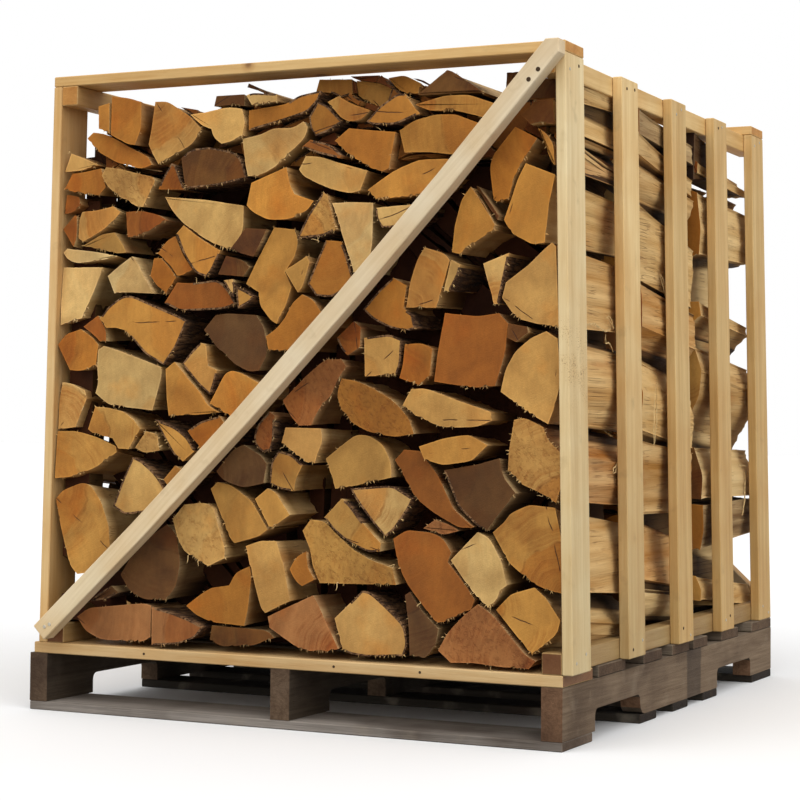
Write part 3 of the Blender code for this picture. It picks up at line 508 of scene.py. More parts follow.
# %% Sawn ends
class OnLog(Finish):
    """A finish of split logs, with patterns that each log's own shift moves."""

    def __init__(self, name, roughness):
        super().__init__(name, roughness)
        values = {0: self.here(), 1: self.carried("shift", "Vector")}
        self.place = self.add("VectorMath", values, operation="ADD").outputs[0]

    def speckle(self, squeeze, detail, roughness, turn=None):
        """Noise on coordinates that are squeezed by so much along each axis."""
        return self.cloud(self.stretched(self.place, squeeze, turn), 1.0, detail, roughness)

    def painted_shade(self):
        """Painted shade: make the colour darker and redder the deeper a point lies in the pile."""
        air = self.carried("open_air")
        shares = [self.work_out("POWER", air, power) for power in (1.0, 1.12, 1.3)]
        light = self.add("CombineXYZ", dict(enumerate(shares))).outputs[0]
        self.colour = self.multiplied(self.colour, light)


def sawn_end():
    """The cut end of a log: soft patches, faint rings, saw marks, now and then a crack."""
    wood = OnLog("sawn_end", 0.8)
    place = wood.place
    tone = wood.carried("tone", "Color")
    phase, ringed, cracked = wood.parts(wood.carried("traits", "Vector"))
    deep = wood.multiplied(tone, (0.78, 0.71, 0.62, 1))
    pale = wood.multiplied(tone, (1.24, 1.22, 1.15, 1))
    wood.colour = wood.mix(wood.spread(wood.cloud(place, 9.0, distortion=0.8), 0.3, 0.7), deep, pale)
    wood.tint(wood.stain(place, 13.0, 0.44), (1.1, 0.86, 0.58, 1), 0.7)
    wood.tint(wood.stain(place, 34.0, 0.36), (0.8, 0.7, 0.55, 1), 0.6)
    dark_log = wood.spread(wood.parts(tone)[0], 0.1, 0.3, 0.8, 0.0)
    wood.tint(wood.times(wood.stain(place, 15.0, 0.5), dark_log), (0.55, 0.5, 0.45, 1))

    pith = wood.carried("pith", "Vector")
    wavy = wood.cloud(place, 26.0)
    radius = wood.add("VectorMath", {0: pith}, operation="LENGTH").outputs["Value"]
    ring = wood.add("CombineXYZ", {0: wood.work_out("MULTIPLY_ADD", wavy, 0.02, radius), 1: phase})
    rings = wood.spread(wood.cloud(ring.outputs[0], 170.0, 3.0, 0.75), 0.35, 0.65)
    streaky = wood.times(wood.times(rings, ringed), wood.spread(wood.cloud(place, 19.0), 0.4, 0.6))
    wood.tint(streaky, linear(204, 172, 140))

    edge = wood.work_out("MULTIPLY_ADD", phase, 0.012, 0.03)
    beyond = wood.work_out("SUBTRACT", wood.work_out("MULTIPLY_ADD", wavy, 0.03, radius), edge)
    heartwood = wood.times(wood.falling(beyond, 0.012, 0.018), ringed)
    wood.tint(heartwood, (0.9, 0.74, 0.56, 1), 2.2)
    line = wood.falling(wood.away_from(beyond, 0.018), 0.0004, 0.0034)
    line = wood.times(line, wood.spread(wood.cloud(place, 30.0), 0.4, 0.6))
    wood.tint(wood.times(line, wood.times(ringed, 1.3)), (0.62, 0.5, 0.36, 1))
    mottle = wood.spread(wood.speckle((110, 110, 50), 4.0, 0.7), 0.3, 0.7, 0.9, 1.1)
    wood.colour = wood.multiplied(wood.colour, mottle)
    wood.tint(wood.spread(radius, 0.0, 0.11, 0.0, 0.5), (0.86, 0.78, 0.66, 1))

    across = wood.parts(pith)
    angle = wood.work_out("ARCTAN2", across[2], across[0])
    turned_by = wood.work_out("MULTIPLY_ADD", angle, 2.5, wood.times(wavy, 0.25))
    lines = wood.work_out("ABSOLUTE", wood.work_out("SINE", wood.work_out("ADD", turned_by, phase)))
    crack = wood.falling(wood.times(lines, radius), 0.001, 0.003)
    crack = wood.times(wood.times(crack, wood.spread(wood.cloud(place, 22.0, 1.0), 0.5, 0.56)), cracked)
    # The crack is painted dark: painted shade inside it.
    wood.paint(crack, linear(68, 38, 20), 0.92)
    # Pits, darkened: painted shade in them.
    pits = wood.spread(wood.speckle((120, 120, 90), 4.0, 0.75, (0, 0.7, 0)), 0.5, 0.68)
    pits = wood.times(pits, wood.carried("rough"))
    wood.tint(pits, linear(190, 152, 112), 0.45)
    # Paler along the rim of the sawn end.
    pale_rim = wood.times(wood.work_out("POWER", wood.carried("rim"), 1.4),
                        wood.spread(wood.cloud(place, 45.0), 0.35, 0.6, 0.4, 1.0))
    wood.tint(pale_rim, (1.38, 1.42, 1.6, 1))
    wood.painted_shade()
    marks = wood.work_out("ADD", wood.speckle((40, 40, 260), 2.0, 0.6, (0, 0.5, 0)),
                          wood.cloud(place, 380.0, 3.0))
    sunk = wood.times(wood.work_out("ADD", crack, pits), 2.0)
    return wood.finish(wood.work_out("SUBTRACT", marks, sunk), distance=0.0009, strength=0.6)


SAWN_END = sawn_end()
print("made:", SAWN_END.name)


# %% Split flanks and bark
def split_flank():
    """The side of a log, where the wood was torn along its fibres."""
    wood = OnLog("split_flank", 0.85)
    tone = wood.carried("tone", "Color")
    along = wood.stretched(wood.place, (34, 1.2, 34))
    grain = wood.use(GRAIN, Vector=along, Wander=1.0, Fine=0.25)
    deep = wood.multiplied(tone, (0.86, 0.74, 0.6, 1))
    wood.colour = wood.mix(grain["Streaks"], deep, wood.mix(0.55, tone, linear(244, 210, 152)))
    wood.tint(wood.stain(wood.stretched(wood.place, (14, 5, 14)), 1.0, 0.42), linear(206, 150, 96), 0.5)
    creases = wood.falling(wood.away_from(wood.speckle((120, 1.6, 120), 1.0, 0.4), 0.5), 0.0, 0.05)
    creases = wood.times(creases, wood.spread(wood.cloud(wood.place, 14.0), 0.48, 0.62))
    # Painted shade in the creases.
    wood.paint(creases, linear(112, 72, 38), 0.5)
    wood.painted_shade()
    raised = wood.work_out("ADD", grain["Height"], wood.speckle((200, 4, 200), 3.0, 0.6))
    sunk = wood.times(creases, 0.8)
    return wood.finish(wood.work_out("SUBTRACT", raised, sunk), distance=0.0018, strength=0.8)


def rough_bark():
    """Dark plates with deep cracks between them, longer along the log."""
    bark = OnLog("bark", 0.95)
    plates = bark.spread(bark.away_from(bark.speckle((75, 11, 75), 3.0, 0.55), 0.5), 0.0, 0.09)
    flakes = bark.speckle((120, 40, 120), 4.0, 0.65)
    scaly = bark.mix(bark.spread(flakes, 0.3, 0.7), linear(98, 68, 44), linear(152, 114, 76))
    # The dark between the plates is painted shade in the cracks.
    bark.colour = bark.mix(plates, linear(68, 44, 28), scaly)
    bark.paint(bark.stain(bark.place, 19.0, 0.4), linear(142, 120, 92), 0.4)
    bark.painted_shade()
    return bark.finish(bark.work_out("ADD", plates, flakes), distance=0.004, strength=0.9)


FINISHES = [SAWN_END, split_flank(), rough_bark()]
CUT, FLANK, BARK = range(3)     # their places among a log's finishes
print("made:", [finish.name for finish in FINISHES])

# %% [markdown]
# ## The colours of the logs
#
# The ends of the logs range from cream to a wet dark brown, and grey where they have stood in the
# weather. Each tone has a name and the places, in centimetres across and up, of the logs on the front
# that have it. Logs in the rows behind draw a tone at random.

# %% Tones
TONES = {
    "cream": linear(203, 175, 122),
    "pale": linear(197, 162, 102),
    "yellow": linear(187, 147, 86),
    "warm": linear(183, 132, 61),
    "tan": linear(177, 134, 69),
    "orange": linear(164, 109, 42),
    "brown": linear(142, 86, 32),
    "grey": linear(150, 102, 60),
    "umber": linear(106, 71, 31),
    "dark": linear(96, 66, 35),
}
TONE_PLACES = {
    "cream": [(8, 77), (20, 80), (10, 85), (67, 86)],
    "pale": [(92, 29), (23, 42), (36, 33), (73, 39), (7, 57), (24, 50), (18, 62), (42, 78), (86, 79),
             (94, 78), (36, 90), (74, 90), (61, 98), (50, 103), (39, 108), (48, 112)],
    "yellow": [(70, 19), (50, 27), (57, 50), (101, 48), (36, 64), (85, 56), (101, 62), (73, 66), (81, 79),
               (101, 78), (60, 90), (13, 91), (9, 102), (19, 98), (28, 107)],
    "warm": [(101, 22), (86, 50), (33, 59), (43, 59), (22, 72), (51, 80), (34, 84), (89, 88), (99, 91),
             (52, 94), (77, 96), (83, 104), (74, 108), (86, 109)],
    "tan": [(64, 31), (100, 34), (11, 35), (43, 38), (51, 39), (53, 45), (67, 36), (11, 48), (17, 53),
            (31, 50), (68, 48), (45, 76), (56, 80), (16, 87), (103, 101), (14, 110), (65, 109)],
    "orange": [(41, 23), (57, 28), (38, 52), (70, 56), (9, 67), (55, 72), (79, 64), (75, 74), (27, 81),
               (62, 81), (30, 84), (10, 98), (28, 99), (95, 97), (17, 104), (69, 102), (19, 109),
               (53, 110), (60, 107)],
    "brown": [(83, 28), (82, 43), (13, 70), (66, 68), (90, 67), (36, 77), (7, 90), (7, 94), (23, 91),
              (60, 102)],
    "grey": [(18, 17), (32, 17), (58, 19), (92, 17), (84, 36), (49, 52), (59, 59)],
    "umber": [(44, 16), (98, 69), (42, 82), (93, 91), (38, 101), (101, 106), (34, 112), (41, 112),
              (83, 112)],
    "dark": [(80, 19), (16, 22), (26, 27), (45, 46), (92, 42), (44, 69), (45, 86)],
}
ROUGH_PLACES = [(36, 33), (97, 38), (92, 17), (101, 48), (70, 56), (58, 62), (20, 98), (66, 30), (49, 52),
                (84, 36), (60, 90), (24, 50)]
SIDE_TONES = ["cream", "cream", "pale", "pale", "yellow", "yellow", "warm", "orange", "tan", "umber"]
FREE_TONES = ["cream", "pale", "pale", "yellow", "yellow", "warm", "warm", "tan", "tan", "orange",
              "orange", "brown", "grey", "umber"]
LEFT_SIDE = -0.5425             # X of the pallet's left side, from which places across are counted
FRONT = -0.6095                 # Y of the crate's front plane
TURN = 0.018 / 1.219            # how far the crate runs to the left for each metre to the back


def tone_at(middle):
    """The tone of the named place that lies nearest to the middle of a log's end."""
    across, up = (middle.x - LEFT_SIDE) * 100, middle.y * 100
    found = []
    for name, places in TONE_PLACES.items():
        nearest = min(math.dist((across, up), place) for place in places)
        found.append((nearest, name))
    return min(found)[1]


print("tones:", len(TONES), "places:", sum(map(len, TONE_PLACES.values())))

# %% [markdown]
# ## Reading the logs' outlines
#
# The frame's rows already have each log's sawn end at its place. Copied, merged and stripped to the
# faces that look straight out, a row falls apart into one flat face for each log, and that face's
# corners are the log's outline. The crate stands slightly turned, so outlines are slid back to the
# front plane, and all later work is done as if the logs ran straight along Y.

# %% Outlines from the frame
MERGE = 0.00001
END_DEPTH = 0.04                # log ends lie within this of a row's outermost point


def end_faces(name, outward, depth):
    """A copy of a node with only the faces that look straight out, near its outermost point."""
    shape = bmesh.new()
    shape.from_mesh(nodes[name].data)
    bmesh.ops.remove_doubles(shape, verts=shape.verts, dist=MERGE)
    outermost = max(corner.co.y * outward for corner in shape.verts)
    others = [face for face in shape.faces if face.normal.y * outward < 0.99
              or face.calc_center_median().y * outward < outermost - depth]
    bmesh.ops.delete(shape, geom=others, context="FACES")
    return shape, outermost * outward


def in_crate(flat, along):
    """A point of an outline at a Y, where the crate's slight turn puts it."""
    return Vector((flat.x - TURN * (along - FRONT), along, flat.y))


def outline_of(face, along):
    """A face's corners, across and up, slid to where they are in the front plane."""
    slide = TURN * (along - FRONT)
    return [Vector((corner.co.x + slide, corner.co.z)) for corner in face.verts]


def ends_of(name, outward):
    """The outlines of a node's log ends, each with the Y at which it stands."""
    shape, _ = end_faces(name, outward, END_DEPTH)
    bmesh.ops.dissolve_limit(shape, angle_limit=0.001, verts=shape.verts, edges=shape.edges)
    found = []
    for face in shape.faces:
        stand = face.verts[0].co.y
        outline = outline_of(face, stand)
        area = sum(outline[index - 1].cross(point) for index, point in enumerate(outline))
        found.append((outline if area > 0 else outline[::-1], stand))
    shape.free()
    found.sort(key=lambda end: (round(sum((point.y for point in end[0]), 0) / len(end[0]), 4),
                                round(end[0][0].x, 4)))
    return found


def outline_box(name, outward):
    """The flat end of a row's solid: the outline of all that it fills."""
    shape, outermost = end_faces(name, outward, MERGE)
    found = []
    for face in shape.faces:
        outline = outline_of(face, outermost)
        found.append(outline if (outline[1] - outline[0]).cross(outline[2] - outline[1]) > 0
                     else outline[::-1])
    shape.free()
    return found


front_ends = ends_of("firewood_front_row", -1)
back_ends = ends_of("firewood_back_row", 1)
print("log ends in front:", len(front_ends), "at the back:", len(back_ends))

# %% [markdown]
# ## From an outline to a log
#
# By hand, a log would be its outline filled with one face, extruded to the back in steps, with the
# front face inset for the torn rim, and then pushed about with a sculpting brush. The operators below
# do this for a whole row at once, because an extrusion moves every selected face. The brush is a
# function: it pushes the flanks in along ridges, tears the lower edge of the sawn end, tilts the cut a
# little and lets the log taper.

# %% Outlines with enough points
SHARP = math.radians(40)        # a corner that turns by more stays sharp


def corner_turn(before, here, after):
    """By how much an outline turns at a point."""
    first, second = here - before, after - here
    return math.atan2(first.cross(second), first.dot(second))


def traced(outline, step):
    """Points along an outline, and for each whether it is a sharp corner and on a round stretch.

    Smoothed a few times, round stretches become rounder, while the sharp corners stay in place.
    """
    count = len(outline)
    turns = [corner_turn(outline[index - 1], outline[index], outline[(index + 1) % count])
             for index in range(count)]
    points = []
    for index, start in enumerate(outline):
        end = outline[(index + 1) % count]
        after = turns[(index + 1) % count]
        cuts = max(1 if count > 4 else 2, round((end - start).length / step))
        is_round = 0 < turns[index] < SHARP * 1.2 or 0 < after < SHARP * 1.2
        for cut in range(cuts):
            sharp = cut == 0 and abs(turns[index]) > SHARP
            points.append([start.lerp(end, cut / cuts), sharp, is_round])
    for _ in range(3):
        places = [place for place, _, _ in points]
        for index, point in enumerate(points):
            around = (places[index - 1] + places[(index + 1) % len(places)]) / 2
            if not point[1]:
                point[0] = places[index].lerp(around, 0.5)
    return points


BARE_SIDE = 0.40                # logs further from the middle than this have lost their bark
GROW = 0.0003                   # a sawn end is this much wider than its solid, as its rim is torn in
CRACKED, BARKED = 0.45, 0.4     # the share of logs with cracks, and with bark


class Log:
    """One log: its traced outline, how deep it lies, its tone and what is its own."""

    def __init__(self, outline, near, far, tone, draw, step):
        self.points = traced(outline, step)
        self.middle = sum((place for place, _, _ in self.points), Vector((0, 0))) / len(self.points)
        self.near = near
        self.far = far
        self.tone = tone
        self.seed = draw.uniform(0, 50)
        self.shift = Vector([draw.uniform(-9, 9) for _ in range(3)])
        self.tilt = Vector((draw.uniform(-0.08, 0.08), draw.uniform(-0.06, 0.08)))
        self.taper = draw.uniform(0.0, 0.07)
        self.drift = Vector((draw.uniform(-0.004, 0.004), draw.uniform(-0.004, 0.002)))
        self.barked = draw.random() < BARKED and abs(self.middle.x) < BARE_SIDE
        streaks = draw.uniform(0.05, 0.3) if draw.random() < 0.6 else draw.uniform(0.35, 0.7)
        cracked = 1.0 if draw.random() < CRACKED else 0.0
        self.tint = draw.uniform(0.88, 1.1)
        self.warmth = draw.uniform(-0.05, 0.05)
        if tone in ("grey", "umber", "dark"):
            streaks += 0.2
        self.traits = Vector((draw.uniform(0, 6), streaks, cracked))
        self.teeth = []
        for place, _, _ in self.points:
            jagged = noise.noise(Vector((place.x * 22, self.seed, place.y * 22))) > 0.05
            self.teeth.append(draw.random() ** 1.5 * (1.0 if jagged else 0.1))
        self.side_tone = tone
        if abs(self.middle.x) > BARE_SIDE:      # its flank shows, and reaches out as it likes
            self.side_tone = draw.choice(SIDE_TONES)
            self.drift = Vector((0, draw.uniform(-0.05, 0.012)))
            self.taper = draw.uniform(0.02, 0.2)
        place = ((self.middle.x - LEFT_SIDE) * 100, self.middle.y * 100)
        self.rough = 1.0 if min(math.dist(place, other) for other in ROUGH_PLACES) < 3 else 0.0
        self.buried = False
        self.heart = False
        angles = [(corner_angle(self.points, index), index) for index in range(len(self.points))]
        corner = self.points[min(angles)[1]][0]
        self.pith = corner + (corner - self.middle) * draw.uniform(-0.1, 0.5)
        reach = [(place - self.middle).dot(self.tilt) for place, _, _ in self.points]
        self.set_back = -min(reach)


def corner_angle(points, index):
    """The angle inside an outline at a point, as seen from a few points to either side."""
    here = points[index][0]
    before = points[index - 3][0]
    after = points[(index + 3) % len(points)][0]
    return math.pi - corner_turn(before, here, after)


def outward_at(points, index):
    """The direction that points out of an outline at a point."""
    along = points[(index + 1) % len(points)][0] - points[index - 1][0]
    return Vector((along.y, -along.x)).normalized() if along.length else Vector((0, 0))


print("a log is described by its outline and", len(TONES), "possible tones")

# %% The log maker
STEP_MARK = 0.01                # spacing of the extrusion's steps before they get their real depth
RIM = 0.0035                    # width of the torn rim round a sawn end


def pick_faces(shape, test):
    """Select only the faces that pass a test."""
    for face in shape.faces:
        face.select = False
    for face in shape.faces:
        if test(face):
            face.select = True
    shape.select_flush(True)


def extruded_logs(name, logs, steps):
    """All the logs' outlines as flat faces, extruded in steps, with the first face inset."""
    corners, faces, owners = [], [], []
    for number, log in enumerate(logs):
        faces.append(list(range(len(corners), len(corners) + len(log.points))))
        corners += [(place.x, 0, place.y) for place, _, _ in log.points]
        owners += [number] * len(log.points)
    mesh = bpy.data.meshes.new(name)
    mesh.from_pydata(corners, [], faces)
    turns = [index for log in logs for index in range(len(log.points))]
    for label, values in (("owner", owners), ("turn", turns)):
        mesh.attributes.new(label, "INT", "POINT").data.foreach_set("value", values)
    piece = put_in_scene(name, mesh)
    pick(piece)
    bpy.ops.object.mode_set(mode="EDIT")
    bpy.ops.mesh.select_mode(type="FACE")
    bpy.ops.mesh.select_all(action="SELECT")
    for _ in steps[1:]:
        bpy.ops.mesh.extrude_region_move(TRANSFORM_OT_translate={"value": (0, STEP_MARK, 0)})
    shape = bmesh.from_edit_mesh(mesh)
    pick_faces(shape, lambda face: all(abs(corner.co.y) < STEP_MARK / 4 for corner in face.verts))
    bmesh.update_edit_mesh(mesh)
    bpy.ops.mesh.inset(thickness=RIM, use_even_offset=False, use_individual=True)
    bpy.ops.mesh.select_all(action="SELECT")
    bpy.ops.mesh.normals_make_consistent(inside=False)
    bpy.ops.object.mode_set(mode="OBJECT")
    return piece


def push_in(log, index, depth, at_rim, in_open):
    """How far a point of a log's flank is pushed in, by broad ridges, finer ones and ribs.

    The first 2 cm of the flank are less ridged, and an open flank is ridged more than a hidden one.
    The teeth are torn out of the end's rim, mostly out of its lower side.
    """
    place, sharp, _ = log.points[index]
    where = Vector((place.x * 70, depth * 5, place.y * 70 + log.seed))
    ridges = 0.5 + 0.5 * noise.noise(where)
    finer = 0.5 + 0.5 * noise.noise(Vector((place.x * 210, depth * 9, place.y * 210 - log.seed)))
    rib = 0.5 + 0.5 * noise.noise(Vector((place.x * 160, log.seed, place.y * 160)))
    pushed = 0.0022 * ridges + 0.0016 * finer + in_open * (0.003 * ridges + 0.004 * rib)
    down = max(0.0, -outward_at(log.points, index).y)
    torn = log.teeth[index] * (0.0006 + 0.0038 * down)
    if sharp:
        torn *= 0.3
        pushed *= 0.6
    return pushed * min(1.0, depth / 0.02) + torn * at_rim - GROW


def tinted(log, name):
    """A tone, a little lighter or darker and redder or yellower for each log."""
    red, green, blue, _ = TONES[name]
    return red * log.tint * (1 + log.warmth), green * log.tint, blue * log.tint * (1 - 2 * log.warmth), 1


def solids_of(names):
    """The faces of some nodes, for finding out what a straight line meets."""
    corners, faces = [], []
    for node in [nodes[name] for name in names]:
        start = len(corners)
        corners += [node.matrix_world @ corner.co for corner in node.data.vertices]
        faces += [[start + corner for corner in face.vertices] for face in node.data.polygons]
    return BVHTree.FromPolygons(corners, faces)


PILE = solids_of([name for name in nodes if "_row" in name or "_log_" in name])
NEAR_ENOUGH = 0.25              # wood within this shades a flank
CLEAR = 0.004                   # the search starts this far off, so as not to meet the log itself
# Shares of light that multiply the logs' colours: painted shade in the gaps of the pile.
GAP_DEPTH = 0.04                # light falls off by about two thirds over this much of a gap
DEEPEST_AIR = 0.1               # light on a flank where a gap is deepest
BURIED_AIR = 0.5                # light on the ends of the kindling deep between the logs
HEART_AIR = 0.16                # and on the wood behind everything


def air_at(place, aside, depth):
    """How much light reaches a flank: 1 in the open, less and less deep in the pile."""
    found = PILE.ray_cast(place + aside * CLEAR, aside, NEAR_ENOUGH)
    if found[0] is None:
        return 1.0
    return DEEPEST_AIR + math.exp(-depth / GAP_DEPTH)


def shape_logs(piece, logs, steps, facing):
    """Give the extruded outlines their depth, ridges, torn rims, finishes and colours."""
    mesh = piece.data
    shape = bmesh.new()
    shape.from_mesh(mesh)
    layers = shape.verts.layers
    owner, turn = layers.int["owner"], layers.int["turn"]
    tone = layers.float_color.new("tone")
    pith, shift, traits = [layers.float_vector.new(label) for label in ("pith", "shift", "traits")]
    rim, rough, air = [layers.float.new(label) for label in ("rim", "rough", "open_air")]
    caps = [face for face in shape.faces
            if len(face.verts) > 4 and abs(face.calc_center_median().y) < STEP_MARK / 4]
    inner = {corner for face in caps for corner in face.verts}
    for corner in inner:
        beside = [edge.other_vert(corner) for edge in corner.link_edges]
        outside = next(other for other in beside if other not in inner)
        corner[owner] = outside[owner]
        corner[turn] = outside[turn]
    for corner in shape.verts:
        log = logs[corner[owner]]
        index = corner[turn]
        step = round(corner.co.y / STEP_MARK)
        depth = min(steps[step], 1.0) * (log.far - log.near)
        at_rim = {0: 1.0, 1: 0.45}.get(step, 0.0)
        flat = Vector((corner.co.x, corner.co.z))
        aside = outward_at(log.points, index)
        in_open = 1.0
        if corner not in inner:
            stand = in_crate(flat, log.near + depth)
            in_open = air_at(stand, Vector((aside.x, 0, aside.y)), abs(depth))
            flat -= aside * push_in(log, index, abs(depth), at_rim, 1.0 if in_open == 1.0 else 0.0)
        else:
            flat += aside * GROW
        part = steps[step]
        flat = log.middle + (flat - log.middle) * (1 - log.taper * part) + log.drift * part
        lean = (flat - log.middle).dot(log.tilt) + log.set_back
        along = log.near + depth + facing * lean * max(0.0, 1 - abs(depth) / 0.1)
        corner.co = in_crate(flat, along)
        corner[tone] = tinted(log, log.tone if step == 0 else log.side_tone)
        corner[pith] = Vector((flat.x - log.pith.x, 0, flat.y - log.pith.y))
        corner[shift] = log.shift
        corner[traits] = log.traits
        corner[rough] = log.rough
        # Painted shade: buried kindling ends and the wood behind get a low share of light, flanks in gaps
        # less the deeper they lie.
        corner[air] = (BURIED_AIR if log.buried else 1.0) if step == 0 else in_open
        if log.heart:
            corner[air] = HEART_AIR
        corner[rim] = 1.0 if step == 0 and corner not in inner else 0.0
    for face in shape.faces:
        log = logs[face.verts[0][owner]]
        is_round = all(log.points[corner[turn]][2] for corner in face.verts)
        if len(face.verts) > 4:
            face.material_index = CUT
        elif log.barked and is_round:
            face.material_index = BARK
        else:
            face.material_index = CUT if any(corner in inner for corner in face.verts) else FLANK
    shape.to_mesh(mesh)
    shape.free()
    for finish in FINISHES:
        mesh.materials.append(finish)


def face_outwards(piece):
    """Turn all of a piece's faces outwards."""
    pick(piece)
    bpy.ops.object.mode_set(mode="EDIT")
    bpy.ops.mesh.select_all(action="SELECT")
    bpy.ops.mesh.normals_make_consistent(inside=False)
    bpy.ops.object.mode_set(mode="OBJECT")


def make_logs(name, logs, steps, facing, replaced):
    """A finished piece of one or more logs, which stands for a node of the frame."""
    piece = extruded_logs(name, logs, steps)
    shape_logs(piece, logs, steps, facing)
    face_outwards(piece)
    bpy.ops.object.shade_smooth_by_angle(angle=math.radians(32))
    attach(piece, "root")
    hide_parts(*replaced)
    return piece


# The shares of a log's length at which its flank has points: close together near the sawn end.
FULL_STEPS = [0, 0.01, 0.035, 0.09, 0.22, 0.42, 0.62, 0.82, 1.0]
BACK_STEPS = [0, 0.012, 0.05, 0.3, 0.65, 1.0]
PLAIN_STEPS = [0, 0.03, 0.25, 0.5, 0.75, 1.0]
FINE = 0.0058                   # spacing of the points round a log that shows
PLAIN = 0.014                   # and round one that hardly does
print("steps along a log:", len(FULL_STEPS))

# %% [markdown]
# ## The three rows
#
# The front row is the one that shows, with every log's own tone. The back row is made in the same way,
# facing the other way. The middle row only shows between the posts and from above, so its logs have
# fewer points. It is stacked upside down, as its solid is.

# %% The rows
draw = random.Random(12)
_, front_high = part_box("firewood_front_row")
back_low, back_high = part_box("firewood_back_row")
middle_low, middle_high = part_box("firewood_middle_row")


def log_middle(outline):
    """The middle of an outline's corners."""
    return sum(outline, Vector((0, 0))) / len(outline)


def is_hollow(shape, edge):
    """Whether taking this edge away would leave a corner that bends inwards."""
    for corner in edge.verts:
        around = {other.other_vert(corner) for face in edge.link_faces for other in face.edges
                  if corner in other.verts and other is not edge}
        if len(around) != 2:
            return True
        one, two = [(other.co - corner.co).xz for other in around]
        towards = (edge.other_vert(corner).co - corner.co).xz
        if math.acos(max(-1, min(1, one.normalized().dot(towards.normalized())))) \
                + math.acos(max(-1, min(1, two.normalized().dot(towards.normalized())))) > math.pi:
            return True
    return False


def gaps_between(filled, outlines):
    """The spaces that the logs leave inside a row, as outlines that bulge everywhere."""
    corners, loops = [], []
    for outline in (*filled, *outlines):
        loops.append(list(range(len(corners), len(corners) + len(outline))))
        corners += outline
    found = geometry.delaunay_2d_cdt(corners, [], loops, 1, 1e-5, True)
    shape = bmesh.new()
    verts = [shape.verts.new((across, 0, up)) for across, up in found[0]]
    for patch, sources in zip(found[2], found[5]):
        if sources and max(sources) < len(filled):
            shape.faces.new([verts[index] for index in patch])
    edges = sorted(shape.edges, key=lambda edge: -edge.calc_length())
    for edge in edges:
        if edge.is_valid and len(edge.link_faces) == 2 and not is_hollow(shape, edge):
            bmesh.utils.face_join(list(edge.link_faces))
    spaces = [[corner.co.xz for corner in face.verts] for face in shape.faces]
    shape.free()
    return spaces


THINNEST = 0.003                # a space that is narrower gets no kindling
SLACK = 0.0012                  # between a stick of kindling and the edge of its space


def kindling(spaces, near, far, least=0.00012):
    """A split stick for each space that is big enough, a little smaller than the space."""
    sticks = []
    for space in spaces:
        area = sum(space[index - 1].cross(point) for index, point in enumerate(space)) / 2
        if area < 0:
            space = space[::-1]
        length = sum((space[index - 1] - point).length for index, point in enumerate(space))
        inner = 2 * abs(area) / length
        if abs(area) < least or inner < THINNEST:
            continue
        middle = log_middle(space)
        smaller = [middle.lerp(point, 1 - SLACK / inner) for point in space]
        start = near + math.copysign(draw.uniform(0.0, 0.05), far - near)
        stick = Log(smaller, start, far, draw.choice(DEEP_TONES), draw, PLAIN)
        stick.buried = True
        sticks.append(stick)
    return sticks


POST_INSIDE = 0.020             # from a side's outer face to the posts' inner faces
CRATE_WIDTH = 1.067
CRATE_SHIFT = 0.018             # how far the crate stands to the right of the pallet's left side
LEAN = (0.014, -0.020)          # how far the tops of the left and the right posts lean to the right
DECK_TOP, CRATE_TOP = 0.1256, 1.185


def side_at(side, up, inside=POST_INSIDE):
    """X of the left (0) or right (1) side's inner face at a height, in the front plane."""
    rise = (up - DECK_TOP) / (CRATE_TOP - DECK_TOP)
    outer = LEFT_SIDE + CRATE_SHIFT + side * CRATE_WIDTH + LEAN[side] * rise
    return outer + (inside if side == 0 else -inside)


def beside_left_posts(low, high):
    """A narrow upright outline between the logs and the left posts."""
    corners = ((high, 0.08), (high, 0.026), (low, 0.026), (low, 0.08))
    return [Vector((side_at(0, up, away), up)) for up, away in corners]


HEART_SIDE = 0.45               # the dark wood in a row ends this far to either side
HEART_TOP = 1.0                 # and this far up
HEART_INSET = 0.012             # it is drawn in this much all round
HEART_BACK = 0.12               # it starts this far behind the row's sawn ends
HEART_SHORT = 0.02              # and ends this far before the row does


def shrunk(outline, by):
    """An outline drawn in all round, and more so at the open sides and the top."""
    count = len(outline)
    points = []
    for index, point in enumerate(outline):
        along = (outline[(index + 1) % count] - outline[index - 1]).normalized()
        inner = point - Vector((along.y, -along.x)) * by
        points.append(Vector((max(-HEART_SIDE, min(inner.x, HEART_SIDE)), min(inner.y, HEART_TOP))))
    return points


def shaded_wood(outline, near, far, tone="brown"):
    """A plain log without bark, darkened by painted shade, to close the pile behind what shows."""
    made = Log(outline, near, far, tone, draw, PLAIN)
    made.heart = True
    made.barked = False
    return made


def hearts(outlines, near, far):
    """Wood darkened by painted shade behind the ends of a row, so that no light comes through its gaps."""
    way = math.copysign(1.0, far - near)
    return [shaded_wood(shrunk(outline, HEART_INSET), near + way * HEART_BACK, far - way * HEART_SHORT)
            for outline in outlines]


def from_side(corners):
    """An outline whose corners are given across from the pallet's left side, and up."""
    return [Vector((across + LEFT_SIDE, up)) for across, up in corners]


DEEP_TONES = ["warm", "tan", "orange", "brown", "brown", "umber"]
SET_BACK = 0.06                 # kindling starts this far behind the front plane
LEFT_CORNER = [Vector(corner) for corner in (
    (-0.4685, 1.041), (-0.4865, 1.04), (-0.4855, 0.961), (-0.4485, 0.96), (-0.4485, 0.95),
    (-0.4165, 0.949), (-0.4185, 1.062), (-0.4685, 1.064))]
LEFT_FOOT = [Vector(corner) for corner in (
    (-0.4525, 0.219), (-0.4755, 0.218), (-0.4745, 0.173), (-0.3805, 0.178), (-0.3815, 0.256),
    (-0.4535, 0.253))]
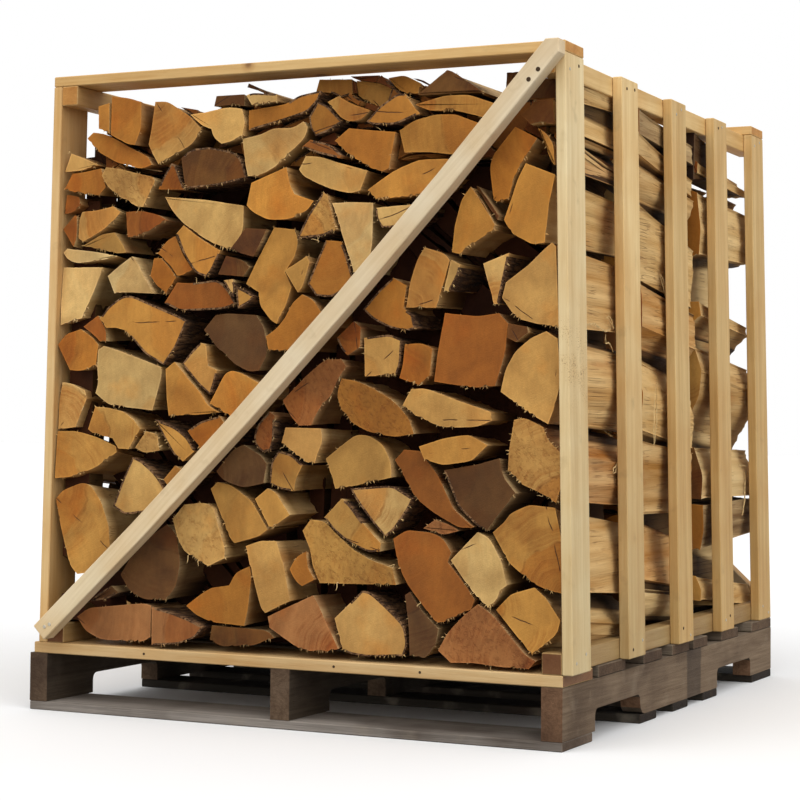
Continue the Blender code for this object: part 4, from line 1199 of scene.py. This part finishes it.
# Wood darkened by painted shade that closes the gaps beside the left posts: an outline, and how far back it
# starts.
STOPS = [(beside_left_posts(0.285, 0.952), 0.03), (beside_left_posts(0.168, 0.215), 0.03),
         (LEFT_CORNER, 0.074), (LEFT_FOOT, 0.07)]
STOP_END = 0.088                # it reaches this far back, about as deep as a post
SIDE_FINE = 0.0048              # spacing of the points round a log at the open right side
front_logs = []
for outline, stand in front_ends:
    spacing = SIDE_FINE if log_middle(outline).x > BARE_SIDE else FINE
    front_logs.append(Log(outline, stand, front_high.y, tone_at(log_middle(outline)), draw, spacing))
sticks = hearts(outline_box("firewood_front_row", 1), FRONT, front_high.y)
sticks += [shaded_wood(outline, FRONT + near, FRONT + STOP_END) for outline, near in STOPS]
front_row = make_logs("front_row_logs", front_logs + sticks, FULL_STEPS, 1, ["firewood_front_row"])

back_logs = [Log(outline, stand, back_low.y, draw.choice(FREE_TONES), draw, FINE)
             for outline, stand in back_ends]
filled = outline_box("firewood_back_row", -1)
spaces = gaps_between(filled, [outline for outline, _ in back_ends])
sticks = kindling(spaces, back_high.y - SET_BACK, back_low.y)
sticks += hearts(filled, back_high.y, back_low.y)
back_row = make_logs("back_row_logs", back_logs + sticks, BACK_STEPS, -1, ["firewood_back_row"])

LOWEST = 0.164                  # the underside of the middle row
TURNED_ROUND = 1.055            # the height in the front row that comes to lie there
TURNED_SCALE = 0.99
# Two more logs at the middle row's top right.
MIDDLE_TOP = [
    [(0.95, 1.04), (0.982, 1.03), (1.049, 1.044), (1.049, 1.086), (0.994, 1.08), (0.946, 1.093)],
    [(0.976, 1.072), (1.048, 1.082), (1.047, 1.128), (1.01, 1.128), (0.97, 1.106)],
]


def upside_down(outline):
    """A front log's outline as it lies in the middle row, turned over and kept off the posts."""
    turned = []
    for point in reversed(outline):
        up = LOWEST + (TURNED_ROUND - point.y) * TURNED_SCALE
        turned.append(Vector((min(max(point.x, side_at(0, up)), side_at(1, up)), up)))
    return turned


middle_outlines = [upside_down(outline) for outline, _ in front_ends]
for outline in MIDDLE_TOP:
    middle_outlines.append([Vector((min(across + LEFT_SIDE, side_at(1, up)), up)) for across, up in outline])
middle_logs = []
for outline in middle_outlines:
    near = middle_low.y + draw.uniform(0, 0.02)
    far = middle_high.y - draw.uniform(0, 0.02)
    spacing = SIDE_FINE if log_middle(outline).x > BARE_SIDE else PLAIN
    middle_logs.append(Log(outline, near, far, draw.choice(FREE_TONES), draw, spacing))
# Painted shade: the last log at the top right gets dark flanks.
middle_logs[-1].side_tone = "umber"
filled = outline_box("firewood_middle_row", 1)
spaces = gaps_between(filled, middle_outlines)
sticks = kindling(spaces, middle_low.y, middle_high.y) + hearts(filled, middle_low.y - 0.05, middle_high.y)
middle_row = make_logs("middle_row_logs", middle_logs + sticks, PLAIN_STEPS, 1, ["firewood_middle_row"])
for row in (front_row, middle_row, back_row):
    print(row.name, "triangles:", sum(len(face.vertices) - 2 for face in row.data.polygons))

# %% [markdown]
# ## The loose logs
#
# On top of the front row, and in the back row's right corner, logs lie by themselves, each a node of
# its own in the frame. Each is made with the same log maker from its own node's end.

# %% Loose logs
def loose_logs(kind, tones=()):
    """A piece for each node of a kind, and the logs; without tones, each takes its place's tone."""
    made = []
    for name in (name for name in nodes if name.startswith(kind)):
        _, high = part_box(name)
        outline, stand = ends_of(name, -1)[0]
        tone = tones[len(made)] if tones else tone_at(log_middle(outline))
        log = Log(outline, stand, high.y, tone, draw, FINE)
        make_logs("split_" + name.split("_", 1)[1], [log], FULL_STEPS, 1, [name])
        made.append(log)
    return made


top_logs = loose_logs("front_top_log_")
loose_logs("back_corner_log_", ["tan", "orange", "umber", "tan", "warm", "orange", "brown"])

# %% [markdown]
# Between and behind the loose logs lies more broken wood, which closes the pile up to its skyline.

# %% Broken wood under the skyline
# Outlines across from the pallet's left side and up: the heap's skyline, one thin stick on it, and two
# blocks darkened by painted shade, each with where it starts and ends behind the front plane.
SKYLINE = [(0.125, 1.0), (0.125, 1.12), (0.22, 1.115), (0.25, 1.128), (0.33, 1.112), (0.375, 1.125),
           (0.56, 1.122), (0.57, 1.15), (0.63, 1.158), (0.7, 1.155), (0.765, 1.152), (0.8, 1.125),
           (0.88, 1.098), (0.93, 1.08), (0.98, 1.11), (1.04, 1.1), (1.04, 1.0)]
STICK = [(0.435, 1.146), (0.438, 1.153), (0.452, 1.147), (0.478, 1.134), (0.475, 1.129)]
DARK_BLOCKS = [([(0.97, 1.03), (1.04, 1.035), (1.041, 1.132), (0.968, 1.13)], 0.79, 0.93),
               ([(0.955, 1.05), (1.033, 1.055), (1.034, 1.115), (0.952, 1.113)], 0.1, 0.42)]
outlines = [outline for outline, _ in front_ends if max(point.y for point in outline) > 0.99]
outlines += [ends_of(name, -1)[0][0] for name in nodes if name.startswith("front_top_log_")]
spaces = gaps_between([from_side(reversed(SKYLINE))], outlines)
sticks = kindling(spaces, FRONT + 0.03, FRONT + 0.38, least=0.00006)
for corners, near, far in DARK_BLOCKS:
    block = shaded_wood(from_side(corners), FRONT + near, FRONT + far, "umber")
    block.drift = Vector((0, 0))
    sticks.append(block)
sticks.append(Log(from_side(reversed(STICK)), FRONT + 0.03, FRONT + 0.3, "dark", draw, PLAIN))
make_logs("skyline_kindling", sticks, PLAIN_STEPS, 1, [])
print("sticks under the skyline:", len(sticks))

# %% [markdown]
# ## Splinters and fibres
#
# A saw leaves a fringe of splinters along the lower edge of a log's end, and where a log was torn,
# thin fibres curl out of it. One splinter is modelled as a three-sided spike, and copied along the
# lower edges. A fibre is a thin strip swept along a curve.


# %% Splinters
def torn_fibre():
    """Pale broken wood, with something of the colour of its log."""
    wood = Finish("torn_fibre", 0.85)
    wood.colour = wood.mix(0.45, wood.carried("tone", "Color"), linear(222, 184, 126))
    dusty = wood.spread(wood.cloud(wood.here(), 150.0), 0.3, 0.7, 0.6, 1.1)
    wood.colour = wood.multiplied(wood.colour, dusty)
    return wood.finish()


def end_point(log, index, facing):
    """Where a point of a log's outline is, at its sawn end."""
    flat = log.points[index][0]
    along = log.near + facing * ((flat - log.middle).dot(log.tilt) + log.set_back)
    return in_crate(flat, along)


deselect_all()
bpy.ops.mesh.primitive_cone_add(vertices=3, radius1=0.5, depth=1, location=(0, 0, 0.5))
spike = bpy.context.object
bpy.ops.object.transform_apply(location=True)
SPIKE_CORNERS = [corner.co.copy() for corner in spike.data.vertices]
SPIKE_FACES = [tuple(face.vertices) for face in spike.data.polygons]
bpy.data.objects.remove(spike, do_unlink=True)


class Pieces:
    """Corners and faces of many small copies, gathered for one mesh."""

    def __init__(self):
        self.corners = []
        self.tones = []
        self.faces = []

    def spike(self, place, way, length, width, tone):
        """A splinter that points in a direction."""
        turned = way.to_track_quat("Z", "Y").to_matrix()
        start = len(self.corners)
        for corner in SPIKE_CORNERS:
            sized = Vector((corner.x * width, corner.y * width, corner.z * length))
            self.corners.append(place + turned @ sized)
            self.tones.append(TONES[tone])
        self.faces += [[start + corner for corner in face] for face in SPIKE_FACES]

    def strand(self, path, width, tone):
        """A three-sided strip along a path, thin at its ends."""
        start = len(self.corners)
        for index, point in enumerate(path):
            before, after = path[max(0, index - 1)], path[min(len(path) - 1, index + 1)]
            turned = (after - before).to_track_quat("Z", "Y").to_matrix()
            thick = width * (0.35 + 0.65 * math.sin(math.pi * index / (len(path) - 1)))
            for side in range(3):
                angle = side * math.tau / 3
                self.corners.append(point + turned @ Vector((math.cos(angle), math.sin(angle), 0)) * thick)
                self.tones.append(TONES[tone])
        for index in range(len(path) - 1):
            for side in range(3):
                here, there = start + 3 * index, start + 3 * index + 3
                other = (side + 1) % 3
                self.faces.append([here + side, here + other, there + other, there + side])
        last = start + 3 * (len(path) - 1)
        self.faces += [[start + 2, start + 1, start], [last, last + 1, last + 2]]

    def finish(self, name, material, slot):
        """The gathered copies as one piece."""
        mesh = bpy.data.meshes.new(name)
        mesh.from_pydata(self.corners, [], self.faces)
        tones = mesh.attributes.new("tone", "FLOAT_COLOR", "POINT")
        tones.data.foreach_set("color", [part for tone in self.tones for part in tone])
        mesh.materials.append(material)
        piece = put_in_scene(name, mesh)
        face_outwards(piece)
        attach(piece, "root")


def add_fringe(pieces, log, facing):
    """Splinters along the jagged stretches of a log's end, and a few fibres where it is rough."""
    for index in range(len(log.points)):
        aside = outward_at(log.points, index)
        lower = max(0.0, -aside.y)
        eager = log.teeth[index] * (0.35 + lower) + 0.3 * log.rough
        if draw.random() > eager:
            continue
        out = Vector((aside.x, 0, aside.y))
        for _ in range(2):
            way = out + Vector((draw.uniform(-0.6, 0.6), -0.2 * facing, draw.uniform(-0.6, 0.4)))
            place = end_point(log, index, facing) - out * 0.003
            place += Vector((draw.uniform(-0.003, 0.003), facing * draw.uniform(0.001, 0.005), 0))
            pieces.spike(place, way, draw.uniform(0.004, 0.0085), draw.uniform(0.0018, 0.0042), log.tone)
    for _ in range(draw.randint(1, 3) if log.rough else 1 if draw.random() < 0.2 else 0):
        index = draw.randrange(len(log.points))
        aside = outward_at(log.points, index)
        place = end_point(log, index, facing)
        way = Vector((aside.x, -0.4 * facing, aside.y)).normalized()
        bend = Vector((draw.uniform(-1, 1), -0.3 * facing, draw.uniform(-1, 0.6)))
        length = draw.uniform(0.004, 0.011)
        curl = Vector((draw.uniform(-1, 1), 0, draw.uniform(-1, 1))) * 0.5
        path = [place + (way * part + bend * part * part + curl * math.sin(5 * part)) * length
                for part in (0, 0.17, 0.34, 0.5, 0.67, 0.84, 1)]
        pieces.strand(path, draw.uniform(0.0006, 0.001), "cream")


fringe = Pieces()
for log in front_logs + top_logs:
    add_fringe(fringe, log, 1)
for log in back_logs:
    add_fringe(fringe, log, -1)
FIBRE = torn_fibre()
fringe.finish("splinters", FIBRE, "split_firewood")
print("splinter faces:", len(fringe.faces))

# %% [markdown]
# On the right side long fibres hang down between the posts.

# %% Hanging fibres
# Places on the right side, in metres from the front and up: where a fibre starts and where it ends.
HANGING = [((0.335, 0.575), (0.355, 0.45)), ((0.245, 0.73), (0.285, 0.715)), ((0.30, 0.475), (0.27, 0.455)),
           ((0.60, 0.47), (0.68, 0.33)), ((0.615, 0.45), (0.66, 0.35)), ((1.06, 0.46), (1.12, 0.452)),
           ((1.11, 0.44), (1.085, 0.35)), ((0.13, 0.71), (0.27, 0.712)), ((0.55, 0.83), (0.63, 0.74)),
           ((0.24, 0.70), (0.28, 0.67)), ((0.52, 0.62), (0.5, 0.5))]
hanging = Pieces()
for (start_along, start_up), (end_along, end_up) in HANGING:
    for _ in range(2):
        path = []
        bulge = draw.uniform(-0.012, 0.012)
        for part in (0, 0.15, 0.3, 0.45, 0.6, 0.75, 0.9, 1):
            along = start_along + (end_along - start_along) * part + bulge * math.sin(math.pi * part)
            up = start_up + (end_up - start_up) * part + 0.6 * bulge * math.sin(math.tau * part)
            right = side_at(1, up) - TURN * along - 0.0015
            path.append(Vector((right + draw.uniform(-0.001, 0.001), FRONT + along, up)))
        hanging.strand(path, draw.uniform(0.0008, 0.0014), "cream")
hanging.finish("hanging_fibres", FIBRE, "split_firewood")
print("hanging fibres:", 2 * len(HANGING))

# %% [markdown]
# ## Nails
#
# Wire nails with flat heads hold the crate together. One head is modelled: a short cylinder with an
# eased edge. Its place on a board is found by looking at the board from outside along a straight line.


# %% Nail heads
def flecked(name, roughness, scale, first, second, metallic=0.0):
    """A finish that wavers between two colours."""
    made = Finish(name, roughness)
    made.shader.inputs["Metallic"].default_value = metallic
    made.colour = made.mix(made.cloud(made.here(), scale), linear(*first), linear(*second))
    return made.finish()


def nail_head(name, start, way, radius, height, material):
    """A nail head where a line from start meets a board."""
    place, normal, *_ = solids_of([name]).ray_cast(Vector(start), Vector(way))
    deselect_all()
    bpy.ops.mesh.primitive_cylinder_add(vertices=12, radius=radius, depth=height)
    head = bpy.context.object
    head.data.materials.append(material)
    bpy.ops.object.mode_set(mode="EDIT")
    shape = bmesh.from_edit_mesh(head.data)
    pick_faces(shape, lambda face: face.normal.z > 0.9)
    bmesh.update_edit_mesh(head.data)
    bpy.ops.mesh.inset(thickness=radius * 0.25)
    bpy.ops.transform.translate(value=(0, 0, height * 0.4))
    bpy.ops.object.mode_set(mode="OBJECT")
    head.matrix_world = Matrix.Translation(place + normal * height * 0.3) @ \
        normal.to_track_quat("Z", "Y").to_matrix().to_4x4()
    bpy.ops.object.transform_apply(location=True, rotation=True)
    return head


def front_nails(name, places, share, height, material):
    """Nail heads on a board that is looked at from the front, each a share of the usual size."""
    return [nail_head(name, (across, -1, up), (0, 1, 0), HEAD * share, height, material)
            for across, up in places]


STEEL = flecked("dull_steel", 0.45, 600.0, (150, 140, 122), (214, 208, 192), 0.8)
HOLE = flecked("dark_hole", 0.9, 500.0, (44, 32, 22), (78, 58, 38))     # a nail that was driven in deep
HEAD = 0.0034                   # radius of a nail head
RAISED, FLUSH = 0.0012, 0.0005  # heights of heads that stand out and of heads that hardly do
POSTS = (0.0, 0.286, 0.575, 0.852, 1.13)        # how far behind the front plane each post starts
POST_WIDTH = 0.089
heads = front_nails("brace_front", [(-0.489, 0.158), (-0.478, 0.163)], 1.0, RAISED, STEEL)
for side, way in (("left", 1), ("right", -1)):
    for number, along in enumerate(POSTS, 1):
        for up in (0.147, 1.147):                       # the middles of the rails
            for part in (0.3, 0.72):
                start = (-way, FRONT + along + POST_WIDTH * (part + draw.uniform(-0.1, 0.1)),
                         up + draw.uniform(-0.01, 0.01))
                heads.append(nail_head(f"post_{side}_{number}", start, (way, 0, 0), HEAD * 0.85, 0.0008,
                                       HOLE if draw.random() < 0.6 else STEEL))
heads += front_nails("brace_front", [(0.487, 1.132), (0.47, 1.116)], 1.2, FLUSH, HOLE)
deck_nails = [(across, 0.116) for across in (-0.2925, 0.0975, 0.2635)]
heads += front_nails("deck_board_front", deck_nails, 0.7, FLUSH, HOLE)
deselect_all()
for head in heads:
    head.select_set(True)
bpy.context.view_layer.objects.active = heads[0]
bpy.ops.object.join()
nails = bpy.context.object
nails.name = "nail_heads"
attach(nails, "root")
print("nails:", len(heads))
